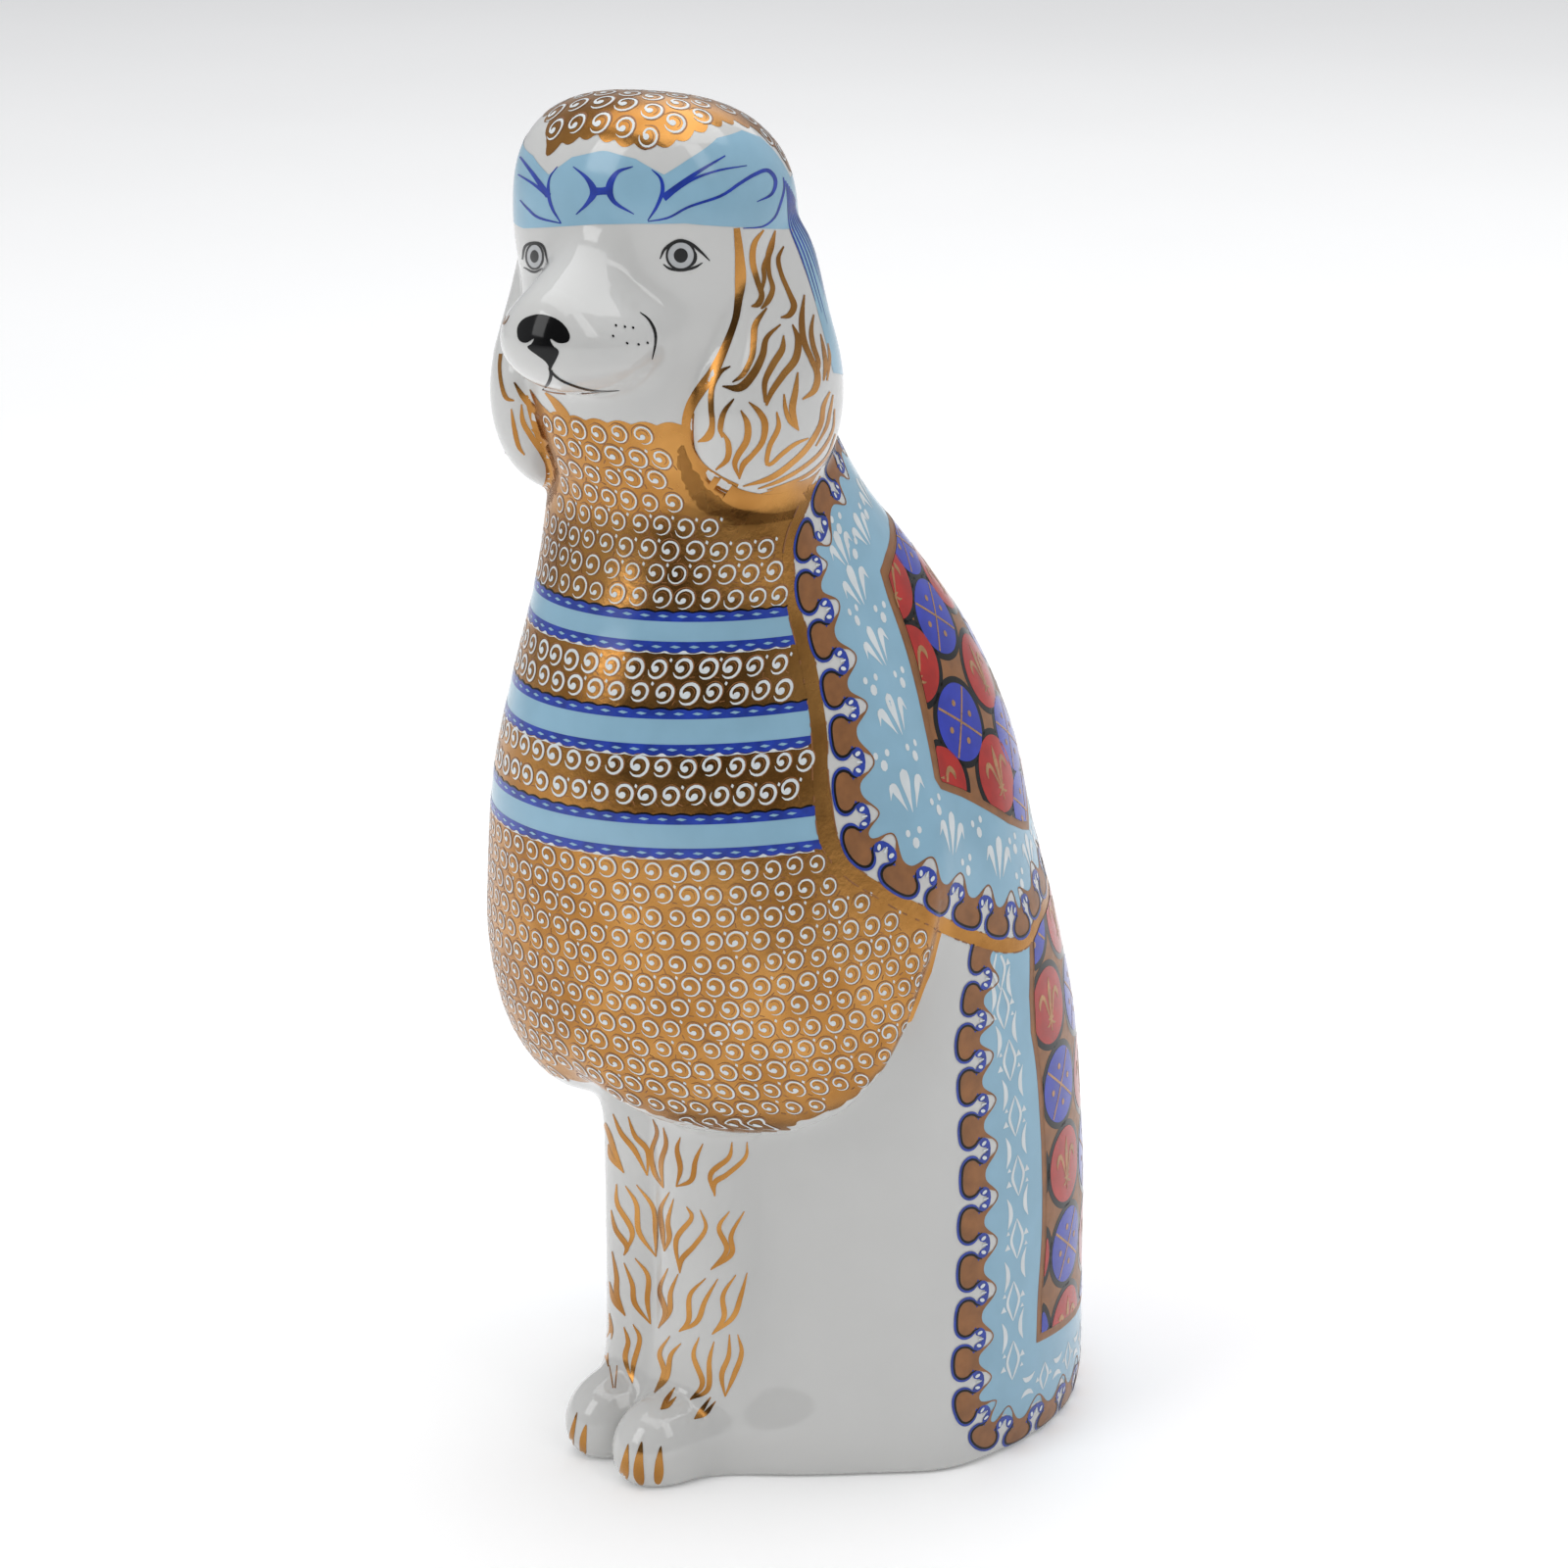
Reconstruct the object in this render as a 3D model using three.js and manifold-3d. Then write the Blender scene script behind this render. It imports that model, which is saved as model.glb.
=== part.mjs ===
// Seated poodle figurine in glazed bone china, hollow slip-cast.
// Millimetres, +Z up, the dog looks along -Y and its own left is +X.
// Two hollow castings (body with the chest mane, and head) with the ears, the
// forelegs and the floor luted on. Neighbouring pieces keep a fit gap.
import * as THREE from "three";
import { mergeVertices } from "three/addons/utils/BufferGeometryUtils.js";
import Module from "manifold-3d";

// ---- driving dimensions -------------------------------------------------
const FOOT_Z = -3.4; // underside of the foot ring and of the paws
const NECK_Z = 171.5; // level where the head casting is luted to the body
const GAP = 0.3; // fit gap between neighbouring pieces
const WALL = 3.4; // cast wall thickness
const FLOOR_T = 3.2; // floor thickness
const FLOOR_RECESS = 1.6; // floor set up inside the foot ring
const VENT_D = 12.0; // firing vent in the floor
const HEAD_Y = -34.0; // vertical axis of the head
const HEAD_TURN = 16.0; // head turned to the dog's left, degrees
const CROWN_TOP = 222.2;
const MANE_CUT = 176.0;
const LEG_X = 6.8; // foreleg centre from the middle plane
const PAW_L_Y = -39.2;
const PAW_R_Y = -37.4;

// Body sections: level, centre y, half width, front depth, back depth,
// front and back section exponents.
const BODY = [
  [-6, 3, 40.0, 44.5, 44.5, 1.45, 2.15],
  [2, 3, 41.2, 43.5, 45.5, 1.45, 2.15],
  [12, 3, 42.0, 39.0, 45.4, 1.45, 2.1],
  [22, 3, 42.0, 36.5, 45.0, 1.42, 2.1],
  [35, 3, 42.0, 36.0, 45.0, 1.42, 2.1],
  [50, 2, 41.5, 36.0, 45.3, 1.45, 2.1],
  [65, 1, 41.0, 37.0, 44.6, 1.55, 2.1],
  [80, -1, 40.0, 38.0, 42.8, 1.75, 2.1],
  [97, -5, 38.0, 42.0, 42.7, 2.0, 2.05],
  [115, -10, 34.0, 42.0, 45.0, 2.0, 2.0],
  [130, -14, 29.5, 37.0, 42.0, 2.0, 2.0],
  [145, -19, 25.0, 29.0, 35.3, 2.0, 2.0],
  [158, -25, 22.5, 20.0, 29.5, 2.0, 2.0],
  [170, -28, 20.0, 14.5, 24.5, 2.0, 2.0],
  [180, -32, 17.0, 13.5, 20.0, 2.0, 2.0],
];
// Chest mane sections, same columns.
const MANE = [
  [40, -8, 30.0, 26.0, 14.0, 2.0, 2.0],
  [60, -8, 37.0, 41.0, 14.0, 2.0, 2.0],
  [72, -8, 40.2, 47.0, 14.0, 2.05, 2.0],
  [85, -8, 40.5, 49.5, 14.0, 2.15, 2.0],
  [97, -9, 39.0, 49.5, 14.0, 2.1, 2.0],
  [115, -12, 35.0, 46.5, 14.0, 2.05, 2.0],
  [130, -16, 30.5, 39.5, 14.0, 2.0, 2.0],
  [143, -21, 26.5, 30.0, 12.0, 2.0, 2.0],
  [155, -27, 24.0, 20.0, 12.0, 2.0, 2.0],
  [166, -30, 21.5, 15.5, 12.0, 2.0, 2.0],
  [178, -33, 18.0, 13.0, 12.0, 2.0, 2.0],
];
// Lower border of the mane: [y, z] from the chest round to the flank.
const MANE_HEM = [
  [-60, 59],
  [-46, 58],
  [-30, 57],
  [-24, 59.5],
  [-20, 64.5],
  [-16.5, 72],
  [-13, 83],
  [-9.5, 93],
  [-6, 110],
];

// ---- form functions (negative inside, roughly millimetres) --------------
function slopes(T, k) {
  const n = T.length,
    m = [];
  for (let i = 0; i < n; i++) {
    if (i === 0) m.push((T[1][k] - T[0][k]) / (T[1][0] - T[0][0]));
    else if (i === n - 1)
      m.push((T[i][k] - T[i - 1][k]) / (T[i][0] - T[i - 1][0]));
    else {
      const hd = T[i + 1][0] - T[i][0],
        hs = T[i][0] - T[i - 1][0];
      m.push(
        (hs * hs * T[i + 1][k] +
          (hd * hd - hs * hs) * T[i][k] -
          hd * hd * T[i - 1][k]) /
          (hs * hd * (hd + hs)),
      );
    }
  }
  return m;
}
const SLOPES = new Map();
for (const T of [BODY, MANE])
  SLOPES.set(
    T,
    [0, 1, 2, 3, 4, 5, 6].map((k) => (k ? slopes(T, k) : null)),
  );
function at(T, z, k) {
  const n = T.length,
    m = SLOPES.get(T)[k];
  z = Math.min(Math.max(z, T[0][0]), T[n - 1][0]);
  let i = 0;
  while (i < n - 2 && z >= T[i + 1][0]) i++;
  const h = T[i + 1][0] - T[i][0],
    t = (z - T[i][0]) / h;
  return (
    (2 * t ** 3 - 3 * t ** 2 + 1) * T[i][k] +
    (t ** 3 - 2 * t ** 2 + t) * h * m[i] +
    (-2 * t ** 3 + 3 * t ** 2) * T[i + 1][k] +
    (t ** 3 - t ** 2) * h * m[i + 1]
  );
}
function smin(a, b, k) {
  const h = Math.max(k - Math.abs(a - b), 0) / k;
  return Math.min(a, b) - (h * h * h * k) / 6;
}
const smax = (a, b, k) => -smin(-a, -b, k);
function section(T, x, y, z) {
  const yc = at(T, z, 1),
    w = at(T, z, 2),
    dy = y - yc,
    rho = Math.hypot(x, dy) + 1e-9;
  const nf = at(T, z, 5),
    nb = at(T, z, 6);
  const phi = Math.atan2(Math.abs(dy), Math.abs(x) + 1e-9);
  const n = dy < 0 ? nf + (nb - nf) * Math.exp(-((phi / 0.3) ** 2)) : nb;
  const d = dy < 0 ? at(T, z, 3) : at(T, z, 4);
  const r =
    ((Math.abs(x) / rho / w) ** n + (Math.abs(dy) / rho / d) ** n) ** (-1 / n);
  return rho - r;
}
function ellipsoid(x, y, z, cx, cy, cz, rx, ry, rz) {
  const px = (x - cx) / rx,
    py = (y - cy) / ry,
    pz = (z - cz) / rz;
  const k0 = Math.hypot(px, py, pz),
    k1 = Math.hypot(px / rx, py / ry, pz / rz) + 1e-9;
  return (k0 * (k0 - 1)) / k1;
}
function cushion(x, y, z, cz, rx, ry, rz, n) {
  const px = x / rx,
    py = y / ry,
    pz = (z - cz) / rz;
  const k0 = (Math.hypot(px, py) ** n + Math.abs(pz) ** n) ** (1 / n) + 1e-9;
  return ((k0 - 1) / k0) * (Math.hypot(x, y, z - cz) + 1e-9) * 0.95;
}
function capsule(x, y, z, a, b, ra, rb) {
  const bx = b[0] - a[0],
    by = b[1] - a[1],
    bz = b[2] - a[2];
  const t = Math.min(
    1,
    Math.max(
      0,
      ((x - a[0]) * bx + (y - a[1]) * by + (z - a[2]) * bz) /
        (bx * bx + by * by + bz * bz),
    ),
  );
  return (
    Math.hypot(x - a[0] - t * bx, y - a[1] - t * by, z - a[2] - t * bz) -
    (ra + (rb - ra) * t)
  );
}
function hem(x, y) {
  let z = MANE_HEM[0][1];
  if (y >= MANE_HEM[MANE_HEM.length - 1][0])
    z = MANE_HEM[MANE_HEM.length - 1][1];
  else
    for (let i = 0; i < MANE_HEM.length - 1; i++) {
      const [y0, z0] = MANE_HEM[i],
        [y1, z1] = MANE_HEM[i + 1];
      if (y >= y0 && y < y1) z = z0 + ((z1 - z0) * (y - y0)) / (y1 - y0);
    }
  return z + 5 * Math.exp(-((x / 7) ** 2));
}
function bodyForm(x, y, z) {
  let body = section(BODY, x, y, z);
  body = smax(body, z - 178, 6);
  body = smax(body, FOOT_Z - z, 3);
  let mane = section(MANE, x, y, z);
  mane = smax(mane, (hem(x, y) - z) * 0.9, 16);
  mane = smax(mane, z - MANE_CUT, 6);
  return smin(body, mane, 7);
}
const TC = Math.cos((HEAD_TURN * Math.PI) / 180),
  TS = Math.sin((HEAD_TURN * Math.PI) / 180);
const headLocal = (x, y) => [
  x * TC + (y - HEAD_Y) * TS,
  -x * TS + (y - HEAD_Y) * TC,
];
const headWorld = (hx, hy) => [hx * TC - hy * TS, HEAD_Y + hx * TS + hy * TC];
function headForm(x, y, z) {
  const [hx, hy] = headLocal(x, y);
  const crown = cushion(
    hx,
    hy,
    z + 0.13 * hy,
    CROWN_TOP - 19.6,
    22.2,
    hy < 0 ? 19.0 : 23.3,
    19.6,
    2.6,
  );
  const face = cushion(hx, hy, z, 187, 20.8, hy < 0 ? 18.9 : 22, 27, 2.7);
  let muzzle = ellipsoid(hx, hy, z, 0, -18.2, 187.8, 12.4, 15.8, 8.8);
  muzzle = smin(
    muzzle,
    capsule(hx, hy, z, [0, -9, 199], [0, -26.3, 190.4], 8.0, 6.5),
    5,
  );
  return smin(smin(crown, face, 2), muzzle, 6);
}
const coreForm = (x, y, z) => smin(bodyForm(x, y, z), headForm(x, y, z), 9);
function legForm(x, y, z, side) {
  const px = x * side;
  const leg = capsule(
    px,
    y,
    z,
    [LEG_X, -27.6, 62],
    [LEG_X - 0.2, -27.8, 4],
    9.2,
    9.0,
  );
  const zp = z - FOOT_Z;
  let paw = ellipsoid(
    px,
    y,
    zp,
    LEG_X,
    side > 0 ? PAW_L_Y : PAW_R_Y,
    5.3,
    7.5,
    9.9,
    8.3,
  );
  paw = smin(paw, ellipsoid(px, y, zp, LEG_X, -31, 5, 8.6, 10, 10), 4);
  return smin(leg, paw, 3);
}
function earForm(x, y, z) {
  const [hx, hy] = headLocal(x, y),
    a = Math.abs(hx);
  return smin(
    ellipsoid(a, hy, z, 17.9, 4.0, 175, 9.2, 18.2, 17.5),
    ellipsoid(a, hy, z, 17.2, 4.5, 190, 7.4, 12.5, 16),
    8,
  );
}

// ---- solids ---------------------------------------------------------------
const wasm = await Module();
wasm.setup();
function solid(geometry) {
  const g = geometry.index ? geometry.toNonIndexed() : geometry.clone();
  for (const name of Object.keys(g.attributes))
    if (name !== "position") g.deleteAttribute(name);
  const m = mergeVertices(g, 1e-4);
  return new wasm.Manifold(
    new wasm.Mesh({
      numProp: 3,
      vertProperties: new Float32Array(m.attributes.position.array),
      triVerts: new Uint32Array(m.index.array),
    }),
  );
}
function geometryOf(s) {
  const m = s.getMesh(),
    v = new Float32Array(m.numVert * 3);
  for (let i = 0; i < m.numVert; i++)
    v.set(m.vertProperties.subarray(i * m.numProp, i * m.numProp + 3), i * 3);
  const g = new THREE.BufferGeometry();
  g.setAttribute("position", new THREE.BufferAttribute(v, 3));
  g.setIndex(new THREE.BufferAttribute(new Uint32Array(m.triVerts), 1));
  g.computeVertexNormals();
  return g;
}
// Distance from an axis point, along direction (dx, dy) at level z, to the skin
// where form = level.
function reach(form, cx, cy, z, dx, dy, level, step = 1.5, far = 75) {
  let r0 = 0;
  if (form(cx, cy, z) >= level) return 0.05;
  let r = 0;
  while (r < far) {
    r = r0 + step;
    if (form(cx + dx * r, cy + dy * r, z) >= level) break;
    r0 = r;
  }
  let a = r0,
    b = r;
  for (let i = 0; i < 26; i++) {
    const m = 0.5 * (a + b);
    if (form(cx + dx * m, cy + dy * m, z) >= level) b = m;
    else a = m;
  }
  return 0.5 * (a + b);
}
// A solid from stacked rings round a vertical axis: a cylinder whose vertices
// are moved out to the skin, with flat ends.
// The level and the height that the form is read at can both follow z.
function ringSolid(form, levels, angles, axis, level = 0, flatten = null) {
  const n = angles.length,
    rows = levels.length;
  const g = new THREE.CylinderGeometry(1, 1, 1, n, rows - 1, true);
  const old = g.index.array.length; // lateral faces come first
  const pos = [];
  for (let j = 0; j < rows; j++) {
    const z = levels[j],
      [cx, cy] = axis(z);
    for (let i = 0; i < n; i++) {
      const dx = Math.sin(angles[i]),
        dy = -Math.cos(angles[i]);
      const zz = flatten ? flatten(z) : z;
      const r = reach(
        form,
        cx,
        cy,
        zz,
        dx,
        dy,
        typeof level === "function" ? level(z) : level,
      );
      pos.push(cx + dx * r, cy + dy * r, z);
    }
  }
  const [bx, by] = axis(levels[0]),
    [tx, ty] = axis(levels[rows - 1]);
  pos.push(bx, by, levels[0], tx, ty, levels[rows - 1]);
  const idx = [],
    B = rows * n,
    T = B + 1;
  for (let j = 0; j < rows - 1; j++)
    for (let i = 0; i < n; i++) {
      const k = (i + 1) % n,
        a = j * n + i,
        b = j * n + k,
        c = (j + 1) * n + i,
        d = (j + 1) * n + k;
      idx.push(a, b, d, a, d, c);
    }
  for (let i = 0; i < n; i++) {
    const k = (i + 1) % n;
    idx.push(B, k, i, T, (rows - 1) * n + i, (rows - 1) * n + k);
  }
  if (old <= 0) throw new Error("no lateral faces");
  g.dispose();
  const out = new THREE.BufferGeometry();
  out.setAttribute(
    "position",
    new THREE.BufferAttribute(new Float32Array(pos), 3),
  );
  out.setIndex(idx);
  return solid(out);
}
// A solid from a sphere whose vertices are moved along their rays to the skin.
function budSolid(form, c, w, h) {
  const g = new THREE.SphereGeometry(1, w, h);
  g.rotateX(Math.PI / 2);
  const p = g.attributes.position;
  for (let i = 0; i < p.count; i++) {
    const d = new THREE.Vector3().fromBufferAttribute(p, i).normalize();
    let a = 0,
      b = 40;
    for (let k = 0; k < 40; k++) {
      const m = 0.5 * (a + b);
      if (form(c[0] + d.x * m, c[1] + d.y * m, c[2] + d.z * m) >= 0) b = m;
      else a = m;
    }
    const r = 0.5 * (a + b);
    p.setXYZ(i, c[0] + d.x * r, c[1] + d.y * r, c[2] + d.z * r);
  }
  return solid(g);
}
function boxSolid(x0, x1, y0, y1, z0, z1) {
  const g = new THREE.BoxGeometry(x1 - x0, y1 - y0, z1 - z0);
  g.translate((x0 + x1) / 2, (y0 + y1) / 2, (z0 + z1) / 2);
  return solid(g);
}
const even = (n) => Array.from({ length: n }, (_, i) => (i * 2 * Math.PI) / n);
const ramp = (a, b, n) =>
  Array.from({ length: n }, (_, i) => a + ((b - a) * i) / (n - 1));

// Body casting: haunches, back, neck and chest mane in one hollow shell.
const bodyAxis = (z) => [
  0,
  z < 62
    ? 2
    : z < 75
      ? 2 - (z - 62) * 0.6
      : Math.max(-5.8 - Math.max(0, z - 97) * 0.32, -29),
];
const BODY_ANGLES = even(60);
const footZ = (z) => Math.max(z, FOOT_Z + 2.2);
const footRound = (z) => (z < FOOT_Z + 0.01 ? -1.1 : z < FOOT_Z + 0.9 ? -0.3 : 0);
const bodyLevels = [
  FOOT_Z, FOOT_Z + 0.8, FOOT_Z + 2.4, 1.5, 5, 10, 18, 28, 38, 47, 53, 56, 58.5, 61, 64, 67, 70.5, 75, 80,
  86, 92, 98, 105, 112, 119, 126, 133, 139, 145, 151, 157, 162, 167,
];
const bodyOuter = ringSolid(
  coreForm,
  [...bodyLevels, NECK_Z - GAP / 2],
  BODY_ANGLES,
  bodyAxis,
  footRound,
  footZ,
);
const bodyGrown = ringSolid(
  coreForm,
  [FOOT_Z - GAP, ...bodyLevels.slice(1), NECK_Z + GAP / 2],
  BODY_ANGLES,
  bodyAxis,
  GAP,
  footZ,
);
const bodyCavity = ringSolid(
  coreForm,
  [FOOT_Z - 3, 5, 25, 47, 60, 68, 78, 90, 105, 120, 135, 148, 160, NECK_Z + 2],
  even(30),
  bodyAxis,
  -WALL,
  (z) => Math.max(z, 5),
);
const body = bodyOuter.subtract(bodyCavity);

// Floor inside the foot ring, with the firing vent.
const floorForm = (x, y) => coreForm(x, y, 5) + WALL + GAP * 1.4;
const floorDisc = ringSolid(
  floorForm,
  [FOOT_Z + FLOOR_RECESS, FOOT_Z + FLOOR_RECESS + FLOOR_T],
  even(30),
  () => [0, 2],
);
const vent = new THREE.CylinderGeometry(VENT_D / 2, VENT_D / 2, 20, 32);
vent.rotateX(Math.PI / 2);
vent.translate(0, 8, FOOT_Z + 3);
const floor = floorDisc.subtract(solid(vent));

// Head casting: crown, face and muzzle in one hollow shell, open at the neck.
const headAxis = () => headWorld(0, -2);
const frontDense = [];
for (let i = 0; i < 52; i++) {
  const t = (i / 52) * 2 * Math.PI;
  frontDense.push(
    t - 0.42 * Math.sin(t) + (HEAD_TURN * Math.PI) / 180,
  );
}
const headLevels = [
  173.5, 176, 178.2, 180.2, 182.4, 185, 188, 191, 194, 196.8, 199.2, 201.6, 204,
  207, 210, 213, 216, 218.5, 220.3, 221.6,
];
const headOuter = ringSolid(
  coreForm,
  [NECK_Z + GAP / 2, ...headLevels],
  frontDense,
  headAxis,
);
const headGrown = ringSolid(
  coreForm,
  [NECK_Z - GAP / 2, ...headLevels],
  frontDense,
  headAxis,
  GAP,
);
const headCavity = ringSolid(
  coreForm,
  [NECK_Z - 3, 176, 181, 184, 188, 192, 196, 200, 205, 211, 215.5],
  even(28),
  headAxis,
  -WALL,
);
const head = headOuter.subtract(headCavity);

// Ears: hanging lobes luted to the sides of the head.
function ear(side) {
  const [cx, cy] = headWorld(17.9 * side, 4);
  const lobe = budSolid(
    (x, y, z) => {
      const [hx] = headLocal(x, y);
      return hx * side < 6 ? 1 : earForm(x, y, z);
    },
    [cx, cy, 178],
    26,
    20,
  );
  return lobe.subtract(headGrown).subtract(bodyGrown);
}
const biggest = (s) =>
  s.decompose().sort((a, b) => b.volume() - a.volume())[0];

// Forelegs with their paws, luted to the front of the body under the mane.
function foreleg(side) {
  const levels = [
    FOOT_Z, FOOT_Z + 0.8, FOOT_Z + 2.4, 1, 3, 5, 7, 9, 11, 14, 20, 34, 50, 60, 66,
  ];
  const col = ringSolid(
    (x, y, z) =>
      legForm(x, y, Math.max(z, FOOT_Z + 0.8), side),
    levels,
    even(30),
    (z) => [
      (LEG_X + 0.6) * side,
      z < 7 ? -34 : Math.min(-27.8, -34 + (z - 7) * 0.8),
    ],
  );
  const half =
    side > 0
      ? boxSolid(GAP / 2, 60, -80, 40, -10, 80)
      : boxSolid(-60, -GAP / 2, -80, 40, -10, 80);
  return biggest(col.intersect(half).subtract(bodyGrown));
}

// ---- assembly ---------------------------------------------------------------
const china = () =>
  new THREE.MeshStandardMaterial({
    color: 0xf0f0ee,
    roughness: 0.08,
    metalness: 0.0,
  });
const group = new THREE.Group();
group.name = "poodle_figurine";
function add(name, s, material) {
  const mesh = new THREE.Mesh(geometryOf(s), material);
  mesh.name = name;
  group.add(mesh);
}
const figure = [
  ["body_casting", body, china()],
  ["head_casting", head, china()],
  ["left_ear", biggest(ear(1)), china()],
  ["right_ear", biggest(ear(-1)), china()],
  ["left_foreleg", foreleg(1), china()],
  ["right_foreleg", foreleg(-1), china()],
  [
    "base_floor",
    floor,
    new THREE.MeshStandardMaterial({
      color: 0xeae8e2,
      roughness: 0.55,
      metalness: 0.0,
    }),
  ],
];
for (const [name, s, material] of figure) add(name, s, material);

// Origin on the ground, in the middle of the outline.
const box = new THREE.Box3().setFromObject(group);
group.position.set(
  -(box.min.x + box.max.x) / 2,
  -(box.min.y + box.max.y) / 2,
  -box.min.z,
);
export default group;
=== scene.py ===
# A seated poodle in glazed bone china, enamelled and gilded over the glaze.
# The china skin is one mesh; every enamel and gold field is its own thin piece on it.
import bpy
import math
import numpy as np
import openvdb
from mathutils import Vector, Matrix
from mathutils.geometry import delaunay_2d_cdt


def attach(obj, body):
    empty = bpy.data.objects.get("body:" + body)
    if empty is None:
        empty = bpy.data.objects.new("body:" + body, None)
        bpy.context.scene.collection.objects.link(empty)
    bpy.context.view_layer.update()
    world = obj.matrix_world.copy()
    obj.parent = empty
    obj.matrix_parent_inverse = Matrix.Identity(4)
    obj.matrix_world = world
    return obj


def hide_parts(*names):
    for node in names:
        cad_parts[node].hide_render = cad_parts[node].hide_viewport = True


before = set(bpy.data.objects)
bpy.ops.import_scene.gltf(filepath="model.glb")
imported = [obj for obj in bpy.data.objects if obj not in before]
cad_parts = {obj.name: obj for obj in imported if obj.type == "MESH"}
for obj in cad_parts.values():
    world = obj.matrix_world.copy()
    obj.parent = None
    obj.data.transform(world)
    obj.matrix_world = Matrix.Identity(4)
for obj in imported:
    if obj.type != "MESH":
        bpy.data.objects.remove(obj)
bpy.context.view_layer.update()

# ---------------------------------------------------------------- form
# The dog's form, in millimetres in its modelling frame: +X its own left,
# -Y the way its chest looks, the foot ring at z = FOOT.
FOOT = -3.4
SHIFT = np.array([0.0, 9.356441, 3.4])      # modelling frame to row frame, mm
HEAD_Y, TURN = -34.0, math.radians(16.0)
TC, TS = math.cos(TURN), math.sin(TURN)
BODY = np.array([
    [-6, 3, 40.0, 44.5, 44.5, 1.45, 2.15], [2, 3, 41.2, 43.5, 45.5, 1.45, 2.15],
    [12, 3, 42.0, 39.0, 45.4, 1.45, 2.1], [22, 3, 42.0, 36.5, 45.0, 1.42, 2.1],
    [35, 3, 42.0, 36.0, 45.0, 1.42, 2.1], [50, 2, 41.5, 36.0, 45.3, 1.45, 2.1],
    [65, 1, 41.0, 37.0, 44.6, 1.55, 2.1], [80, -1, 40.0, 38.0, 42.8, 1.75, 2.1],
    [97, -5, 38.0, 42.0, 42.7, 2.0, 2.05], [115, -10, 34.0, 42.0, 45.0, 2.0, 2.0],
    [130, -14, 29.5, 37.0, 42.0, 2.0, 2.0], [145, -19, 25.0, 29.0, 35.3, 2.0, 2.0],
    [158, -25, 22.5, 20.0, 29.5, 2.0, 2.0], [170, -28, 20.0, 14.5, 24.5, 2.0, 2.0],
    [180, -32, 17.0, 13.5, 20.0, 2.0, 2.0]], float)
MANE = np.array([
    [40, -8, 30.0, 26.0, 14.0, 2.0, 2.0], [60, -8, 37.0, 41.0, 14.0, 2.0, 2.0],
    [72, -8, 40.2, 47.0, 14.0, 2.05, 2.0], [85, -8, 40.5, 49.5, 14.0, 2.15, 2.0],
    [97, -9, 39.0, 49.5, 14.0, 2.1, 2.0], [115, -12, 35.0, 46.5, 14.0, 2.05, 2.0],
    [130, -16, 30.5, 39.5, 14.0, 2.0, 2.0], [143, -21, 26.5, 30.0, 12.0, 2.0, 2.0],
    [155, -27, 24.0, 20.0, 12.0, 2.0, 2.0], [166, -30, 21.5, 15.5, 12.0, 2.0, 2.0],
    [178, -33, 18.0, 13.0, 12.0, 2.0, 2.0]], float)
HEM_Y = [-60, -46, -30, -24, -20, -16.5, -13, -9.5, -6, 0, 12]
HEM_Z = [59, 58, 57, 59.5, 64.5, 72, 83, 93, 98, 102, 106]


def _lut(T):
    zs = T[:, 0]
    zl = np.arange(zs[0], zs[-1] + 0.05, 0.1)
    out = [zl]
    for k in range(1, 7):
        v = T[:, k]
        m = np.gradient(v, zs)
        i = np.clip(np.searchsorted(zs, zl, side='right') - 1, 0, len(zs) - 2)
        h = zs[i + 1] - zs[i]
        t = (zl - zs[i]) / h
        out.append((2*t**3 - 3*t**2 + 1)*v[i] + (t**3 - 2*t**2 + t)*h*m[i]
                   + (-2*t**3 + 3*t**2)*v[i + 1] + (t**3 - t**2)*h*m[i + 1])
    return out


BL, ML = _lut(BODY), _lut(MANE)


def smin(a, b, k):
    h = np.maximum(k - np.abs(a - b), 0) / k
    return np.minimum(a, b) - h*h*h*k/6


def smax(a, b, k):
    return -smin(-a, -b, k)


def section(L, x, y, z):
    g = [np.interp(z, L[0], L[k]) for k in range(1, 7)]
    dy = y - g[0]
    rho = np.hypot(x, dy) + 1e-9
    ax, ay = np.abs(x), np.abs(dy)
    phi = np.arctan2(ay, ax + 1e-9)
    n = np.where(dy < 0, g[4] + (g[5] - g[4])*np.exp(-(phi/0.30)**2), g[5])
    d = np.where(dy < 0, g[2], g[3])
    r = ((ax/rho/g[1])**n + (ay/rho/d)**n)**(-1/n)
    return rho - r


def ell(x, y, z, cx, cy, cz, rx, ry, rz):
    px, py, pz = (x - cx)/rx, (y - cy)/ry, (z - cz)/rz
    k0 = np.sqrt(px*px + py*py + pz*pz)
    k1 = np.sqrt((px/rx)**2 + (py/ry)**2 + (pz/rz)**2) + 1e-9
    return k0*(k0 - 1)/k1


def cushion(x, y, z, cz, rx, ry, rz, n):
    px, py, pz = x/rx, y/ry, (z - cz)/rz
    k0 = (np.sqrt(px*px + py*py)**n + np.abs(pz)**n)**(1/n) + 1e-9
    return (k0 - 1)/k0*(np.sqrt(x*x + y*y + (z - cz)**2) + 1e-9)*0.95


def cap(x, y, z, a, b, ra, rb):
    bx, by, bz = b[0]-a[0], b[1]-a[1], b[2]-a[2]
    t = np.clip(((x-a[0])*bx + (y-a[1])*by + (z-a[2])*bz)/(bx*bx + by*by + bz*bz), 0, 1)
    return np.sqrt((x-a[0]-t*bx)**2 + (y-a[1]-t*by)**2 + (z-a[2]-t*bz)**2) - (ra + (rb-ra)*t)


def to_head(x, y):
    return x*TC + (y - HEAD_Y)*TS, -x*TS + (y - HEAD_Y)*TC


def from_head(hx, hy):
    return hx*TC - hy*TS, HEAD_Y + hx*TS + hy*TC


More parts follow.
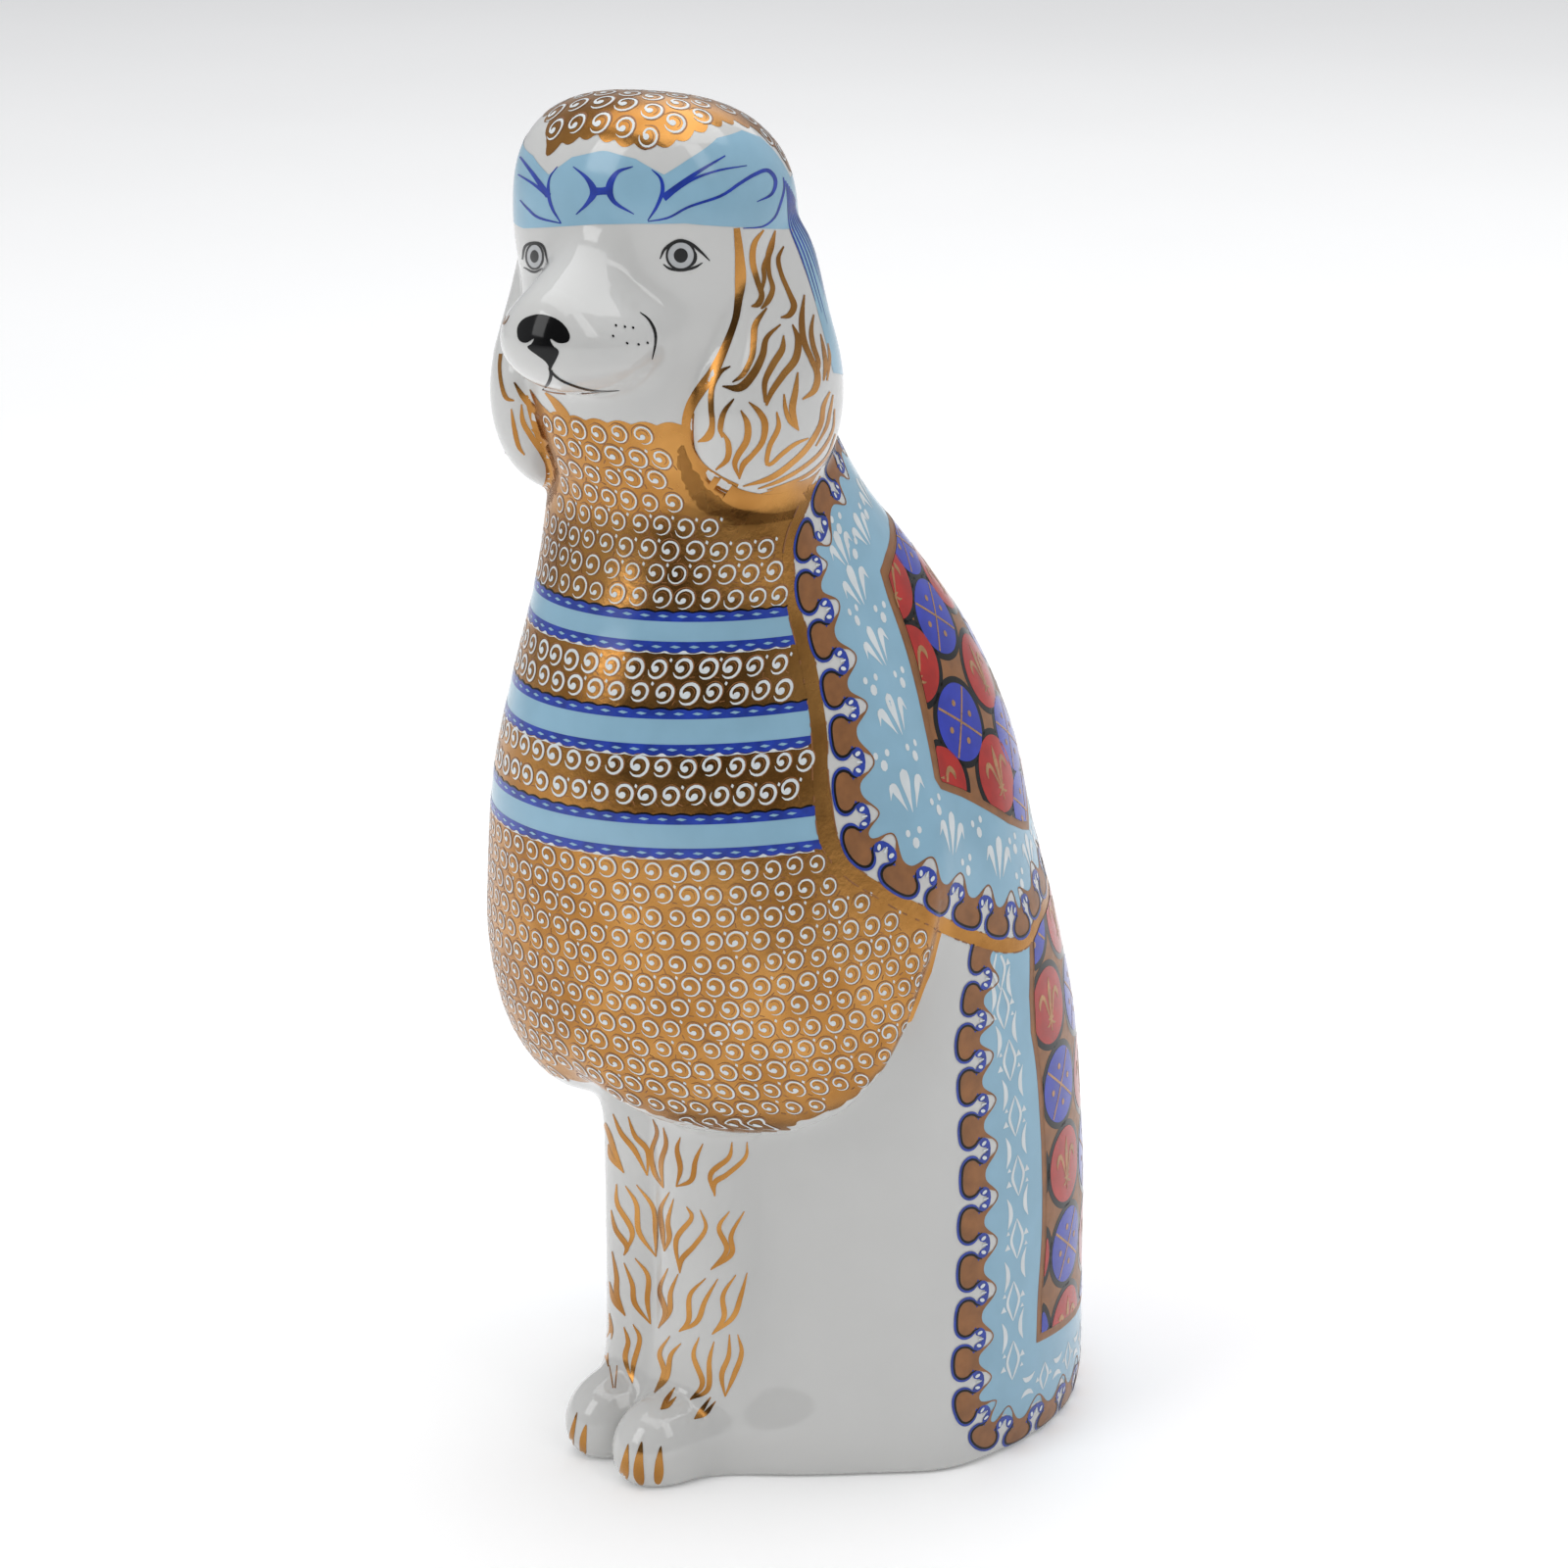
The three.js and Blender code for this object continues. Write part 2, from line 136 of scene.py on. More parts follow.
def body_form(x, y, z):
    b = section(BL, x, y, z)
    b = smax(b, z - 178, 6)
    b = smax(b, FOOT - z, 3)
    m = section(ML, x, y, z)
    hem = np.interp(y, HEM_Y, HEM_Z) + 5.0*np.exp(-(x/7.0)**2)
    m = smax(m, (hem - z)*0.9, 16)
    m = smax(m, z - 176, 6)
    k = 7 + 5*np.exp(-((z - 100)/17)**2)*np.exp(-((y - 0)/13)**2)
    return smin(b, m, k)


def leg_form(x, y, z):
    ax = np.abs(x)
    leg = smin(cap(ax, y, z, (6.8, -27.6, 62), (6.6, -27.8, 4), 9.2, 9.0),
               cap(-ax, y, z, (6.8, -27.6, 62), (6.6, -27.8, 4), 9.2, 9.0), 1.5)
    zp = z - FOOT
    paw = ell(ax, y, zp, 6.8, np.where(x > 0, -39.2, -37.4), 5.3, 7.5, 9.9, 8.3)
    paw = smin(paw, ell(ax, y, zp, 6.8, -31, 5, 8.6, 10, 10), 4)
    return leg, smax(paw, -zp, 1.5)


def head_form(x, y, z):
    hx, hy = to_head(x, y)
    g = cushion(hx, np.where(hy < 0, hy/19.0, hy/23.3)*22.2, z + 0.13*hy, 202.6, 22.2, 22.2, 19.6, 2.6)
    f = cushion(hx, np.where(hy < 0, hy/18.9, hy/22.0)*20.8, z, 187, 20.8, 20.8, 27, 2.7)
    m = ell(hx, hy, z, 0, -18.2, 187.8, 12.4, 15.8, 8.8)
    m = smin(m, cap(hx, hy, z, (0, -9, 199), (0, -26.3, 190.4), 8.0, 6.5), 5)
    return smin(smin(g, f, 2.0), m, 6)


def ear_form(x, y, z):
    hx, hy = to_head(x, y)
    a = np.abs(hx)
    return smin(ell(a, hy, z, 17.9, 4.0, 175, 9.2, 18.2, 17.5),
                ell(a, hy, z, 17.2, 4.5, 190, 7.4, 12.5, 16), 8)


def core(x, y, z):
    """Everything but the ears."""
    d = body_form(x, y, z)
    leg, paw = leg_form(x, y, z)
    d = smin(smin(d, leg, 8), paw, 3)
    return smin(d, head_form(x, y, z), 9)


def full(x, y, z):
    return smin(core(x, y, z), ear_form(x, y, z), 1.5)


def grad(fn, P, e=0.12):
    g = np.empty_like(P)
    for k in range(3):
        o = np.zeros(3)
        o[k] = e
        a, b = P + o, P - o
        g[:, k] = (fn(a[:, 0], a[:, 1], a[:, 2]) - fn(b[:, 0], b[:, 1], b[:, 2]))/(2*e)
    return g


def snap(fn, P, n=3):
    P = P.copy()
    for _ in range(n):
        g = grad(fn, P)
        L = (g*g).sum(1) + 1e-9
        d = np.clip(fn(P[:, 0], P[:, 1], P[:, 2]), -2, 2)
        P -= g*(d/L)[:, None]
    g = grad(fn, P)
    return P, g/(np.linalg.norm(g, axis=1, keepdims=True) + 1e-12)


# ---------------------------------------------------------------- view
AZ, EL, DIST, FPX, TZ, XM = math.radians(46), math.radians(16.5), 760.0, 6.2*760, 105.0, 6.0
FWD = np.array([-math.sin(AZ)*math.cos(EL), math.cos(AZ)*math.cos(EL), -math.sin(EL)])
RIGHT = np.array([math.cos(AZ), math.sin(AZ), 0.0])
UP = np.cross(RIGHT, FWD)
EYE = np.array([0, 0, TZ]) + RIGHT*(-XM*math.cos(AZ)) - FWD*DIST


def sight(V):
    """Points of the 1600 x 1600 frame to where their sight lines meet the skin."""
    V = np.asarray(V, float)
    d = FWD + RIGHT*((V[:, 0] - 800)/FPX)[:, None] + UP*((800 - V[:, 1])/FPX)[:, None]
    d /= np.linalg.norm(d, axis=1, keepdims=True)
    t = np.full(len(V), DIST - 75.0)
    for _ in range(90):
        p = EYE + d*t[:, None]
        t = t + np.where(t < DIST + 90, full(p[:, 0], p[:, 1], p[:, 2])*0.8, 0)
    p = EYE + d*t[:, None]
    ok = np.abs(full(p[:, 0], p[:, 1], p[:, 2])) < 0.08
    return p, ok


def project(P):
    q = P - EYE
    w = q @ FWD
    return np.c_[800 + FPX*(q @ RIGHT)/w, 800 - FPX*(q @ UP)/w]


# ---------------------------------------------------------------- girth
# Body coordinates: z, and s, the length along the level outline from the middle
# of the chest (s = 0) round the dog's left side; s < 0 is its right side.
AX_Z = [-5, 60, 80, 100, 130, 150, 172]
AX_Y = [2, 2, -3, -8, -16, -22, -29]
GZ = np.arange(-3.0, 176.1, 1.0)
GP = np.radians(np.arange(0, 181, 1.5))
_gy = np.interp(GZ, AX_Z, AX_Y)


def _girth():
    Z, P = np.meshgrid(GZ, GP, indexing='ij')
    Yc = np.repeat(_gy[:, None], len(GP), 1)
    a, b = np.full(Z.shape, 4.0), np.full(Z.shape, 66.0)
    # first crossing from the outside in, so that the mane's overhang wins
    r = np.full(Z.shape, 66.0)
    done = np.zeros(Z.shape, bool)
    while not done.all() and r.min() > 3:
        v = core(r*np.sin(P), Yc - r*np.cos(P), Z)
        done |= v <= 0.02
        r = np.where(done, r, np.maximum(r - np.clip(v*0.7, 0.02, 4), 2.9))
        if (r[~done] < 3).all():
            break
    X, Y = r*np.sin(P), Yc - r*np.cos(P)
    s = np.concatenate([np.zeros((len(GZ), 1)),
                        np.cumsum(np.hypot(np.diff(X, axis=1), np.diff(Y, axis=1)), axis=1)], 1)
    return r, s


GR, GS = _girth()


def sz_of(P):
    """Body coordinates of points of the skin."""
    x, y, z = P[:, 0], P[:, 1], P[:, 2]
    yc = np.interp(z, AX_Z, AX_Y)
    ph = np.arctan2(np.abs(x), -(y - yc))
    fz = np.clip(z - GZ[0], 0, len(GZ) - 1.001)
    fp = np.clip(ph/GP[1], 0, len(GP) - 1.001)
    i, j = fz.astype(int), fp.astype(int)
    a, b = fz - i, fp - j
    s = (GS[i, j]*(1-a)*(1-b) + GS[i+1, j]*a*(1-b) + GS[i, j+1]*(1-a)*b + GS[i+1, j+1]*a*b)
    return np.c_[np.where(x < 0, -s, s), z]


def girth(V):
    """Body coordinates to points of the skin (before snapping)."""
    V = np.asarray(V, float)
    s, z = np.abs(V[:, 0]), V[:, 1]
    fz = np.clip(z - GZ[0], 0, len(GZ) - 1.001)
    i = fz.astype(int)
    a = (fz - i)[:, None]
    rows_s = GS[i]*(1-a) + GS[i+1]*a
    rows_r = GR[i]*(1-a) + GR[i+1]*a
    s = np.minimum(s, rows_s[:, -1]*2 - s)      # round the back comes the other side
    j = np.clip((rows_s <= s[:, None]).sum(1) - 1, 0, len(GP) - 2)
    k = np.arange(len(V))
    b = (s - rows_s[k, j])/(rows_s[k, j+1] - rows_s[k, j] + 1e-9)
    ph = GP[j] + b*GP[1]
    r = rows_r[k, j]*(1-b) + rows_r[k, j+1]*b
    yc = np.interp(z, AX_Z, AX_Y)
    over = np.abs(V[:, 0]) > rows_s[:, -1]
    sg = np.sign(V[:, 0] + 1e-12)*np.where(over, -1, 1)
    return np.c_[sg*r*np.sin(ph), yc - r*np.cos(ph), z]


# ---------------------------------------------------------------- china skin
def skin_fn(x, y, z):
    """The outer form with the recess inside the foot ring."""
    d = smax(full(x, y, z), FOOT - z, 0.8)
    ring = section(BL, x, y, np.full_like(x, FOOT + 3)) + 3.7
    rec = smax(ring, z - (FOOT + 13), 1.0)
    return smax(d, -rec, 0.9)


def polygonise(h):
    xs, ys, zs = np.arange(-46, 46.1, h), np.arange(-69, 51.1, h), np.arange(-7, 224.1, h)
    q = 4
    nx, ny, nz = [(len(a) // q) + 2 for a in (xs, ys, zs)]
    cx, cy, cz = xs[0] + np.arange(nx)*h*q, ys[0] + np.arange(ny)*h*q, zs[0] + np.arange(nz)*h*q
    C = np.meshgrid(cx, cy, cz, indexing='ij')
    F = skin_fn(C[0].ravel(), C[1].ravel(), C[2].ravel()).reshape(C[0].shape)
    near = np.abs(F) < h*q*2.5
    A = np.where(np.repeat(np.repeat(np.repeat(F, q, 0), q, 1), q, 2) > 0, 3.0, -3.0).astype(np.float32)
    # nodes round every near coarse node
    M = np.repeat(np.repeat(np.repeat(near, q, 0), q, 1), q, 2)
    I = np.argwhere(M)
    px_ = xs[0] + I[:, 0]*h
    py_ = ys[0] + I[:, 1]*h
    pz_ = zs[0] + I[:, 2]*h
    out = np.empty(len(I), np.float32)
    for k in range(0, len(I), 400000):
        s = slice(k, k + 400000)
        out[s] = skin_fn(px_[s], py_[s], pz_[s])
    A[I[:, 0], I[:, 1], I[:, 2]] = np.clip(out, -3, 3)
    g = openvdb.FloatGrid(3.0)
    g.copyFromArray(A)
    P, Q = g.convertToQuads(isovalue=0.0)
    P = np.asarray(P, float)*h + np.array([xs[0], ys[0], zs[0]])
    return P, np.asarray(Q, np.int64)


def make_mesh(name, P, F, N, quads=False):
    """Mesh object in the row frame, from modelling-frame millimetres."""
    me = bpy.data.meshes.new(name)
    n = F.shape[1]
    me.vertices.add(len(P))
    me.vertices.foreach_set("co", ((P + SHIFT)/1000).astype(np.float32).ravel())
    me.loops.add(F.size)
    me.loops.foreach_set("vertex_index", F.astype(np.int32).ravel())
    me.polygons.add(len(F))
    me.polygons.foreach_set("loop_start", (np.arange(len(F))*n).astype(np.int32))
    me.polygons.foreach_set("loop_total", np.full(len(F), n, np.int32))
    me.update(calc_edges=True)
    me.validate()
    me.polygons.foreach_set("use_smooth", np.ones(len(me.polygons), bool))
    me.normals_split_custom_set_from_vertices([tuple(v) for v in N.astype(float)])
    me.update()
    ob = bpy.data.objects.new(name, me)
    bpy.context.scene.collection.objects.link(ob)
    return ob


def orient(P, F, N):
    """Turns every face to look along the skin's normal."""
    a, b, c = P[F[:, 0]], P[F[:, 1]], P[F[:, 2]]
    fn = np.cross(b - a, c - a)
    bad = (fn*N[F[:, 0]]).sum(1) < 0
    F = F.copy()
    F[bad] = F[bad][:, ::-1]
    return F


VOXEL = 0.8
SP, SQ = polygonise(VOXEL)
SP, SN = snap(skin_fn, SP, 3)
SQ = orient(SP, SQ, SN)
skin = make_mesh("glaze_skin", SP, SQ, SN)

# triangles of the outside, from which the large enamel fields are cut
ST = np.concatenate([SQ[:, [0, 1, 2]], SQ[:, [0, 2, 3]]])
S_SZ = sz_of(SP)                                    # |s| and z of every skin vertex
S_MAX = np.interp(SP[:, 2], GZ, GS[:, -1])
S_B = S_MAX - np.abs(S_SZ[:, 0])


# ---------------------------------------------------------------- cutting fields
def subdivide(P, T):
    """Every triangle into four."""
    E = np.concatenate([T[:, [0, 1]], T[:, [1, 2]], T[:, [2, 0]]])
    E.sort(axis=1)
    key = E[:, 0]*(len(P) + 1) + E[:, 1]
    u, first, inv = np.unique(key, return_index=True, return_inverse=True)
    mid = (P[E[first, 0]] + P[E[first, 1]])/2
    m = inv.reshape(-1) + len(P)
    n = len(T)
    a, b, c = m[:n], m[n:2*n], m[2*n:]
    T2 = np.concatenate([np.c_[T[:, 0], a, c], np.c_[a, T[:, 1], b], np.c_[c, b, T[:, 2]], np.c_[a, b, c]])
    return np.concatenate([P, mid]), T2


def compact(P, T):
    used, inv = np.unique(T.ravel(), return_inverse=True)
    return P[used], inv.reshape(-1, 3)


def field(g, coarse=1.6, levels=1, pre=None):
    """The part of the skin where g(P) < 0, as (points, triangles). Triangles by the
    edge are made finer before they are cut along it."""
    P, T = SP, ST
    if pre is not None:
        T = T[pre[T].all(1)]
    P, T = compact(P, T)
    v = g(P)
    T = T[(v[T].min(1) < 0)]
    P, T = compact(P, T)
    keep = []
    for lev in range(levels):
        v = g(P)
        lo, hi = v[T].min(1), v[T].max(1)
        edge = (lo < 0) & (hi > -coarse*0.25) & (lo > -coarse*2)
        edge = (lo < 0) & (hi > 0) | (hi > -0.35) & (lo < 0)
        keep.append((P, T[~edge & (hi <= 0)]))
        T = T[edge]
        P, T = compact(P, T)
        if not len(T):
            break
        P, T = subdivide(P, T)
        P, _ = snap(full, P, 1)
        T = T[g(P)[T].min(1) < 0]
        P, T = compact(P, T)
    # cut
    v = g(P)
    ins = v < 0
    c = ins[T].sum(1)
    keep.append((P, T[c == 3]))
    for cnt in (1, 2):
        X = T[c == cnt]
        if not len(X):
            continue
        I = ins[X]
        odd = np.argmax(I, axis=1) if cnt == 1 else np.argmin(I, axis=1)
        k = np.arange(len(X))
        a, b, d = X[k, odd], X[k, (odd + 1) % 3], X[k, (odd + 2) % 3]
        tb = np.clip((v[a]/(v[a] - v[b] + 1e-12))[:, None], 0, 1)
        td = np.clip((v[a]/(v[a] - v[d] + 1e-12))[:, None], 0, 1)
        pb, pd = P[a] + (P[b] - P[a])*tb, P[a] + (P[d] - P[a])*td
        n = len(X)
        if cnt == 1:
            keep.append((np.concatenate([P[a], pb, pd]), np.c_[np.arange(n), np.arange(n) + n, np.arange(n) + 2*n]))
        else:
            keep.append((np.concatenate([pb, P[b], P[d], pd]),
                         np.concatenate([np.c_[np.arange(n), np.arange(n) + n, np.arange(n) + 2*n],
                                         np.c_[np.arange(n), np.arange(n) + 2*n, np.arange(n) + 3*n]])))
    return keep


# ---------------------------------------------------------------- drawing
def spline(V, n=None, step=0.5, closed=False):
    """Points along a smooth line through the given ones (any number of columns)."""
    V = np.asarray(V, float)
    if closed:
        V = np.concatenate([V[-1:], V, V[:2]])
    else:
        V = np.concatenate([2*V[:1] - V[1:2], V, 2*V[-1:] - V[-2:-1]])
    out = []
    for i in range(1, len(V) - 2):
        p0, p1, p2, p3 = V[i-1:i+3]
        L = np.linalg.norm((p2 - p1)[:2])
        m = n or max(1, int(math.ceil(L/step)))
        t = (np.arange(m)/m)[:, None]
        out.append(0.5*(2*p1 + (p2 - p0)*t + (2*p0 - 5*p1 + 4*p2 - p3)*t*t + (3*p1 - p0 - 3*p2 + p3)*t**3))
    if not closed:
        out.append(V[-2:-1])
    return np.concatenate(out)


def ribbon(C, w):
    """Left and right edges of a line of width w along C (2-D), and its triangles."""
    C = np.asarray(C, float)
    w = np.broadcast_to(np.asarray(w, float), (len(C),))
    d = np.gradient(C, axis=0)
    d /= np.linalg.norm(d, axis=1, keepdims=True) + 1e-9
    nrm = np.c_[-d[:, 1], d[:, 0]]*(w/2)[:, None]
    n = len(C)
    V = np.concatenate([C + nrm, C - nrm])
    k = np.arange(n - 1)
    return V, np.concatenate([np.c_[k, k + n, k + 1], np.c_[k + 1, k + n, k + n + 1]])


def stroke(pts, w, step=0.5):
    """A brush stroke: control points with a width at each."""
    S = spline(np.c_[np.asarray(pts, float), np.broadcast_to(np.asarray(w, float), (len(pts),))], step=step)
    return ribbon(S[:, :2], np.maximum(S[:, 2], 0.0))


def disc(c, rx, ry=None, n=20, rings=2, rot=0.0):
    ry = rx if ry is None else ry
    a = np.arange(n)/n*2*np.pi
    V, T = [[0.0, 0.0]], []
    for r in range(1, rings + 1):
        V += [[rx*math.cos(t)*r/rings, ry*math.sin(t)*r/rings] for t in a]
    V = np.array(V)
    cr, sr = math.cos(rot), math.sin(rot)
    V = np.c_[V[:, 0]*cr - V[:, 1]*sr + c[0], V[:, 0]*sr + V[:, 1]*cr + c[1]]
    for i in range(n):
        j = (i + 1) % n
        T.append([0, 1 + i, 1 + j])
        for r in range(1, rings):
            p, q = 1 + (r-1)*n, 1 + r*n
            T += [[p + i, q + i, q + j], [p + i, q + j, p + j]]
    return V, np.array(T)


def poly(B, step=0.9, smooth=False):
    """A filled outline."""
    B = np.asarray(B, float)
    if smooth:
        B = spline(B, step=step, closed=True)
    else:
        out = []
        for i in range(len(B)):
            a, b = B[i], B[(i + 1) % len(B)]
            m = max(1, int(math.ceil(np.linalg.norm(b - a)/step)))
            out.append(a + (b - a)*(np.arange(m)/m)[:, None])
        B = np.concatenate(out)
    n = len(B)
    lo, hi = B.min(0), B.max(0)
    gx, gy = np.meshgrid(np.arange(lo[0] + step/2, hi[0], step), np.arange(lo[1] + step/2, hi[1], step))
    G = np.c_[gx.ravel(), gy.ravel()]
    if len(G):
        x1, y1 = B[:, 0], B[:, 1]
        x2, y2 = np.roll(x1, -1), np.roll(y1, -1)
        cr = ((y1[None] > G[:, 1:]) != (y2[None] > G[:, 1:])) & \
             (G[:, :1] < (x2 - x1)[None]*(G[:, 1:] - y1[None])/((y2 - y1)[None] + 1e-12) + x1[None])
        inside = cr.sum(1) % 2 == 1
        far = np.sqrt(((G[:, None] - B[None])**2).sum(2)).min(1) > step*0.45
        G = G[inside & far]
    V = np.concatenate([B, G])
    r = delaunay_2d_cdt([Vector(v) for v in V], [], [list(range(n))], 1, 1e-5)
    return np.array([v[:] for v in r[0]]), np.array([f for f in r[2] if len(f) == 3], int).reshape(-1, 3)


LAYERS = {}


def layer(name):
    return LAYERS.setdefault(name, [])


def lay(name, P, T, ok=None, long=4.0):
    """Adds points and triangles to a layer, dropping what missed or is stretched."""
    P, T = np.asarray(P, float), np.asarray(T, int)
    if not len(T):
        return
    keep = np.ones(len(T), bool)
    if ok is not None:
        keep &= ok[T].all(1)
    e = np.stack([np.linalg.norm(P[T[:, i]] - P[T[:, (i+1) % 3]], axis=1) for i in range(3)]).max(0)
    keep &= e < long
    if keep.any():
        layer(name).append(compact(P, T[keep]))


def on_s(V):
    return girth(V)


def on_b(V):
    V = np.asarray(V, float)
    return girth(np.c_[np.interp(V[:, 1], GZ, GS[:, -1]) - V[:, 0], V[:, 1]])


def mirror_body(P):
    return P*np.array([-1, 1, 1.0])


def mirror_head(P):
    hx, hy = to_head(P[:, 0], P[:, 1])
    x, y = from_head(-hx, hy)
    return np.c_[x, y, P[:, 2]]


def draw(name, shape, to, both=None, long=4.0):
    """Draws a 2-D shape through a mapping, and its mirror image too."""
    V, T = shape
    r = to(V)
    P, ok = r if isinstance(r, tuple) else (r, None)
    lay(name, P, T, ok, long)
    if both is not None:
        lay(name, both(P), T, ok, long)


class Path:
    """A line on the skin through given points, with a frame that motifs are laid in.
    u counts in the given points; v is millimetres to its left, along side."""
    def __init__(self, P3, flip=1.0):
        P3, _ = snap(core, np.asarray(P3, float), 3)
        self.n = len(P3)
        S = spline3(P3, 24)
        S, self.N = snap(core, S, 3)
        self.P = S
        self.u = np.arange(len(S))/24.0
        t = np.gradient(S, axis=0)
        t /= np.linalg.norm(t, axis=1, keepdims=True)
        self.S = np.cross(self.N, t)*flip
        self.S /= np.linalg.norm(self.S, axis=1, keepdims=True)
        self.T = t

    def at(self, V):
        """V holds (u, v) rows."""
        V = np.asarray(V, float)
        u = V[:, 0]
        P = np.stack([np.interp(u, self.u, self.P[:, k]) for k in range(3)], 1)
        S = np.stack([np.interp(u, self.u, self.S[:, k]) for k in range(3)], 1)
        over = u - np.clip(u, 0, self.u[-1])
        P = P + np.where(over[:, None] < 0, self.T[0], self.T[-1])*over[:, None]*7.6
        return P + S*V[:, 1:2]

    def of(self, P):
        """(u, v) of points: nearest point of the line, and the signed distance."""
        u, v = np.empty(len(P)), np.empty(len(P))
        for k in range(0, len(P), 4000):
            q = P[k:k+4000]
            d2 = ((q[:, None] - self.P[None])**2).sum(2)
            j = d2.argmin(1)
            u[k:k+4000] = self.u[j] + ((q - self.P[j])*self.T[j]).sum(1)/7.6
            v[k:k+4000] = np.sqrt(d2[np.arange(len(q)), j])*np.sign(((q - self.P[j])*self.S[j]).sum(1))
        return u, v


def spline3(V, m):
    V = np.concatenate([2*V[:1] - V[1:2], V, 2*V[-1:] - V[-2:-1]])
    t = (np.arange(m)/m)[:, None]
    out = []
    for i in range(1, len(V) - 2):
        p0, p1, p2, p3 = V[i-1:i+3]
        out.append(0.5*(2*p1 + (p2 - p0)*t + (2*p0 - 5*p1 + 4*p2 - p3)*t*t + (3*p1 - p0 - 3*p2 + p3)*t**3))
    out.append(V[-2:-1])
    return np.concatenate(out)


# ---------------------------------------------------------------- decoration
RNG = np.random.default_rng(7)


def vis(P):
    """Which points of the skin are seen from the main viewpoint."""
    Q, ok = sight(project(P))
    return ok & (np.linalg.norm(Q - P, axis=1) < 2.5)


PX = []


def px_draw(name, shape, mirror=None, long=4.0):
    """Keeps a shape given in the 1600 frame, to be drawn by flush_px."""
    PX.append((name, shape[0], shape[1], mirror, long))


def flush_px():
    """Draws the kept shapes, and a mirror image of each where that is not in view."""
    V = np.concatenate([p[1] for p in PX])
    P, ok = sight(V)
    at = np.cumsum([0] + [len(p[1]) for p in PX])
    M = np.zeros_like(P)
    for i, (name, v, T, mirror, long) in enumerate(PX):
        s = slice(at[i], at[i + 1])
        lay(name, P[s], T, ok[s], long)
        M[s] = mirror(P[s]) if mirror is not None else P[s]
    M, _ = snap(full, M, 2)
    seen = vis(M)
    for i, (name, v, T, mirror, long) in enumerate(PX):
        s = slice(at[i], at[i + 1])
        if mirror is not None and ok[s].any() and seen[s][ok[s]].mean() < 0.15:
            lay(name, M[s], T, ok[s], long)


def zx(V, ox, oy, k):
    V = np.asarray(V, float)
    return np.c_[ox + V[:, 0]/k, oy + V[:, 1]/k]


# ---- body: where cape, train and mane lie
def bz_of(P):
    sz = sz_of(P)
    return np.c_[np.interp(P[:, 2], GZ, GS[:, -1]) - np.abs(sz[:, 0]), P[:, 2]]


def absx(P):
    return np.c_[np.abs(P[:, 0]), P[:, 1], P[:, 2]]


CAPE_B = [(4.0, 169.3), (11.5, 168.4), (18.6, 166.2), (25.4, 163.2), (32.6, 159.5), (44.5, 154.1), (52.5, 146.9),
          (58.6, 139.3), (65.2, 131.6), (70.5, 124.6), (76.9, 116.2), (80.0, 107.7), (74.9, 101.5), (68.8, 96.8),
          (62.7, 92.6), (56.8, 89.3), (50.4, 87.4), (44.2, 89.2), (36.4, 90.6), (28.3, 92.3),
          (20.2, 94.2), (12.1, 95.8), (4.0, 96.6)]
TRAIN_B = [(58.0, 91.5), (63.2, 84.9), (67.6, 78.1), (71.0, 71.3), (72.5, 63.8), (73.3, 56.3), (73.9, 48.0), (74.9, 40.1),
           (75.3, 31.9), (75.5, 23.7), (76.3, 16.1), (76.0, 8.4), (71.5, 1.9), (62.6, -0.3), (53.3, -0.3),
           (45.1, -0.3), (36.8, -0.3), (28.6, -0.3), (20.4, -0.3), (12.1, -0.3), (3.9, -0.3)]
CAPE = Path(on_b(CAPE_B))
TRAIN = Path(on_b(TRAIN_B))
# side: positive is outwards, away from the middle of the back
for _p, _out in ((CAPE, on_b([(83.0, 108.0)])[0]), (TRAIN, on_b([(83.0, 40.0)])[0])):
    _u, _v = _p.of(_out[None])
    if _v[0] < 0:
        _p.S *= -1

V_OUT = ([0, 5, 6, 6.8, 8, 9, 10.7, 11.0, 11.5, 15.3, 16, 17, 23], [4.6, 4.6, 4.6, 5.1, 5.5, 6.0, 6.2, 5.3, 4.8, 4.9, 4.6, 4.4, 4.4])
V_IN = ([0, 5, 6, 7, 8.2, 9.5, 10.5, 11.1, 12.4, 15, 16, 23], [2.6, 2.6, 2.4, 2.5, 2.9, 3.4, 3.0, 2.7, 2.4, 2.5, 2.3, 2.3])
NC, NT = len(CAPE_B) - 1, len(TRAIN_B) - 1
LACE_V = 2.1                                # from the lace's scalloped line to the middle of its bulbs
EAR = ear_form(SP[:, 0], SP[:, 1], SP[:, 2]) < core(SP[:, 0], SP[:, 1], SP[:, 2]) + 0.05


def cape_v(P):
    """How far outside the cape's outline, and where along it."""
    return CAPE.of(absx(P))


def scallop(u):
    """The lace's scalloped line: v against u in periods, bulbs at whole numbers."""
    return -LACE_V - 3.1*(0.5 - 0.5*np.cos(2*np.pi*u))**1.25


def seg_dist(V, A, B):
    d = B - A
    t = np.clip(((V - A) @ d)/(d @ d + 1e-12), 0, 1)
    return np.linalg.norm(V - A - t[:, None]*d, axis=1)


def poly_sd(V, poly_):
    """Signed distance to an outline, negative inside."""
    B = np.asarray(poly_, float)
    D = np.full(len(V), 1e9)
    ins = np.zeros(len(V), bool)
    for i in range(len(B)):
        a, b = B[i], B[(i + 1) % len(B)]
        D = np.minimum(D, seg_dist(V, a, b))
        c = ((a[1] > V[:, 1]) != (b[1] > V[:, 1])) & (V[:, 0] < (b[0] - a[0])*(V[:, 1] - a[1])/(b[1] - a[1] + 1e-12) + a[0])
        ins ^= c
    return np.where(ins, -D, D)


def add_field(name, parts):
    for P, T in parts:
        if len(T):
            layer(name).append(compact(P, T))


BODYM = (SP[:, 2] < 175.5) & ~EAR & (SP[:, 2] > FOOT + 0.2)

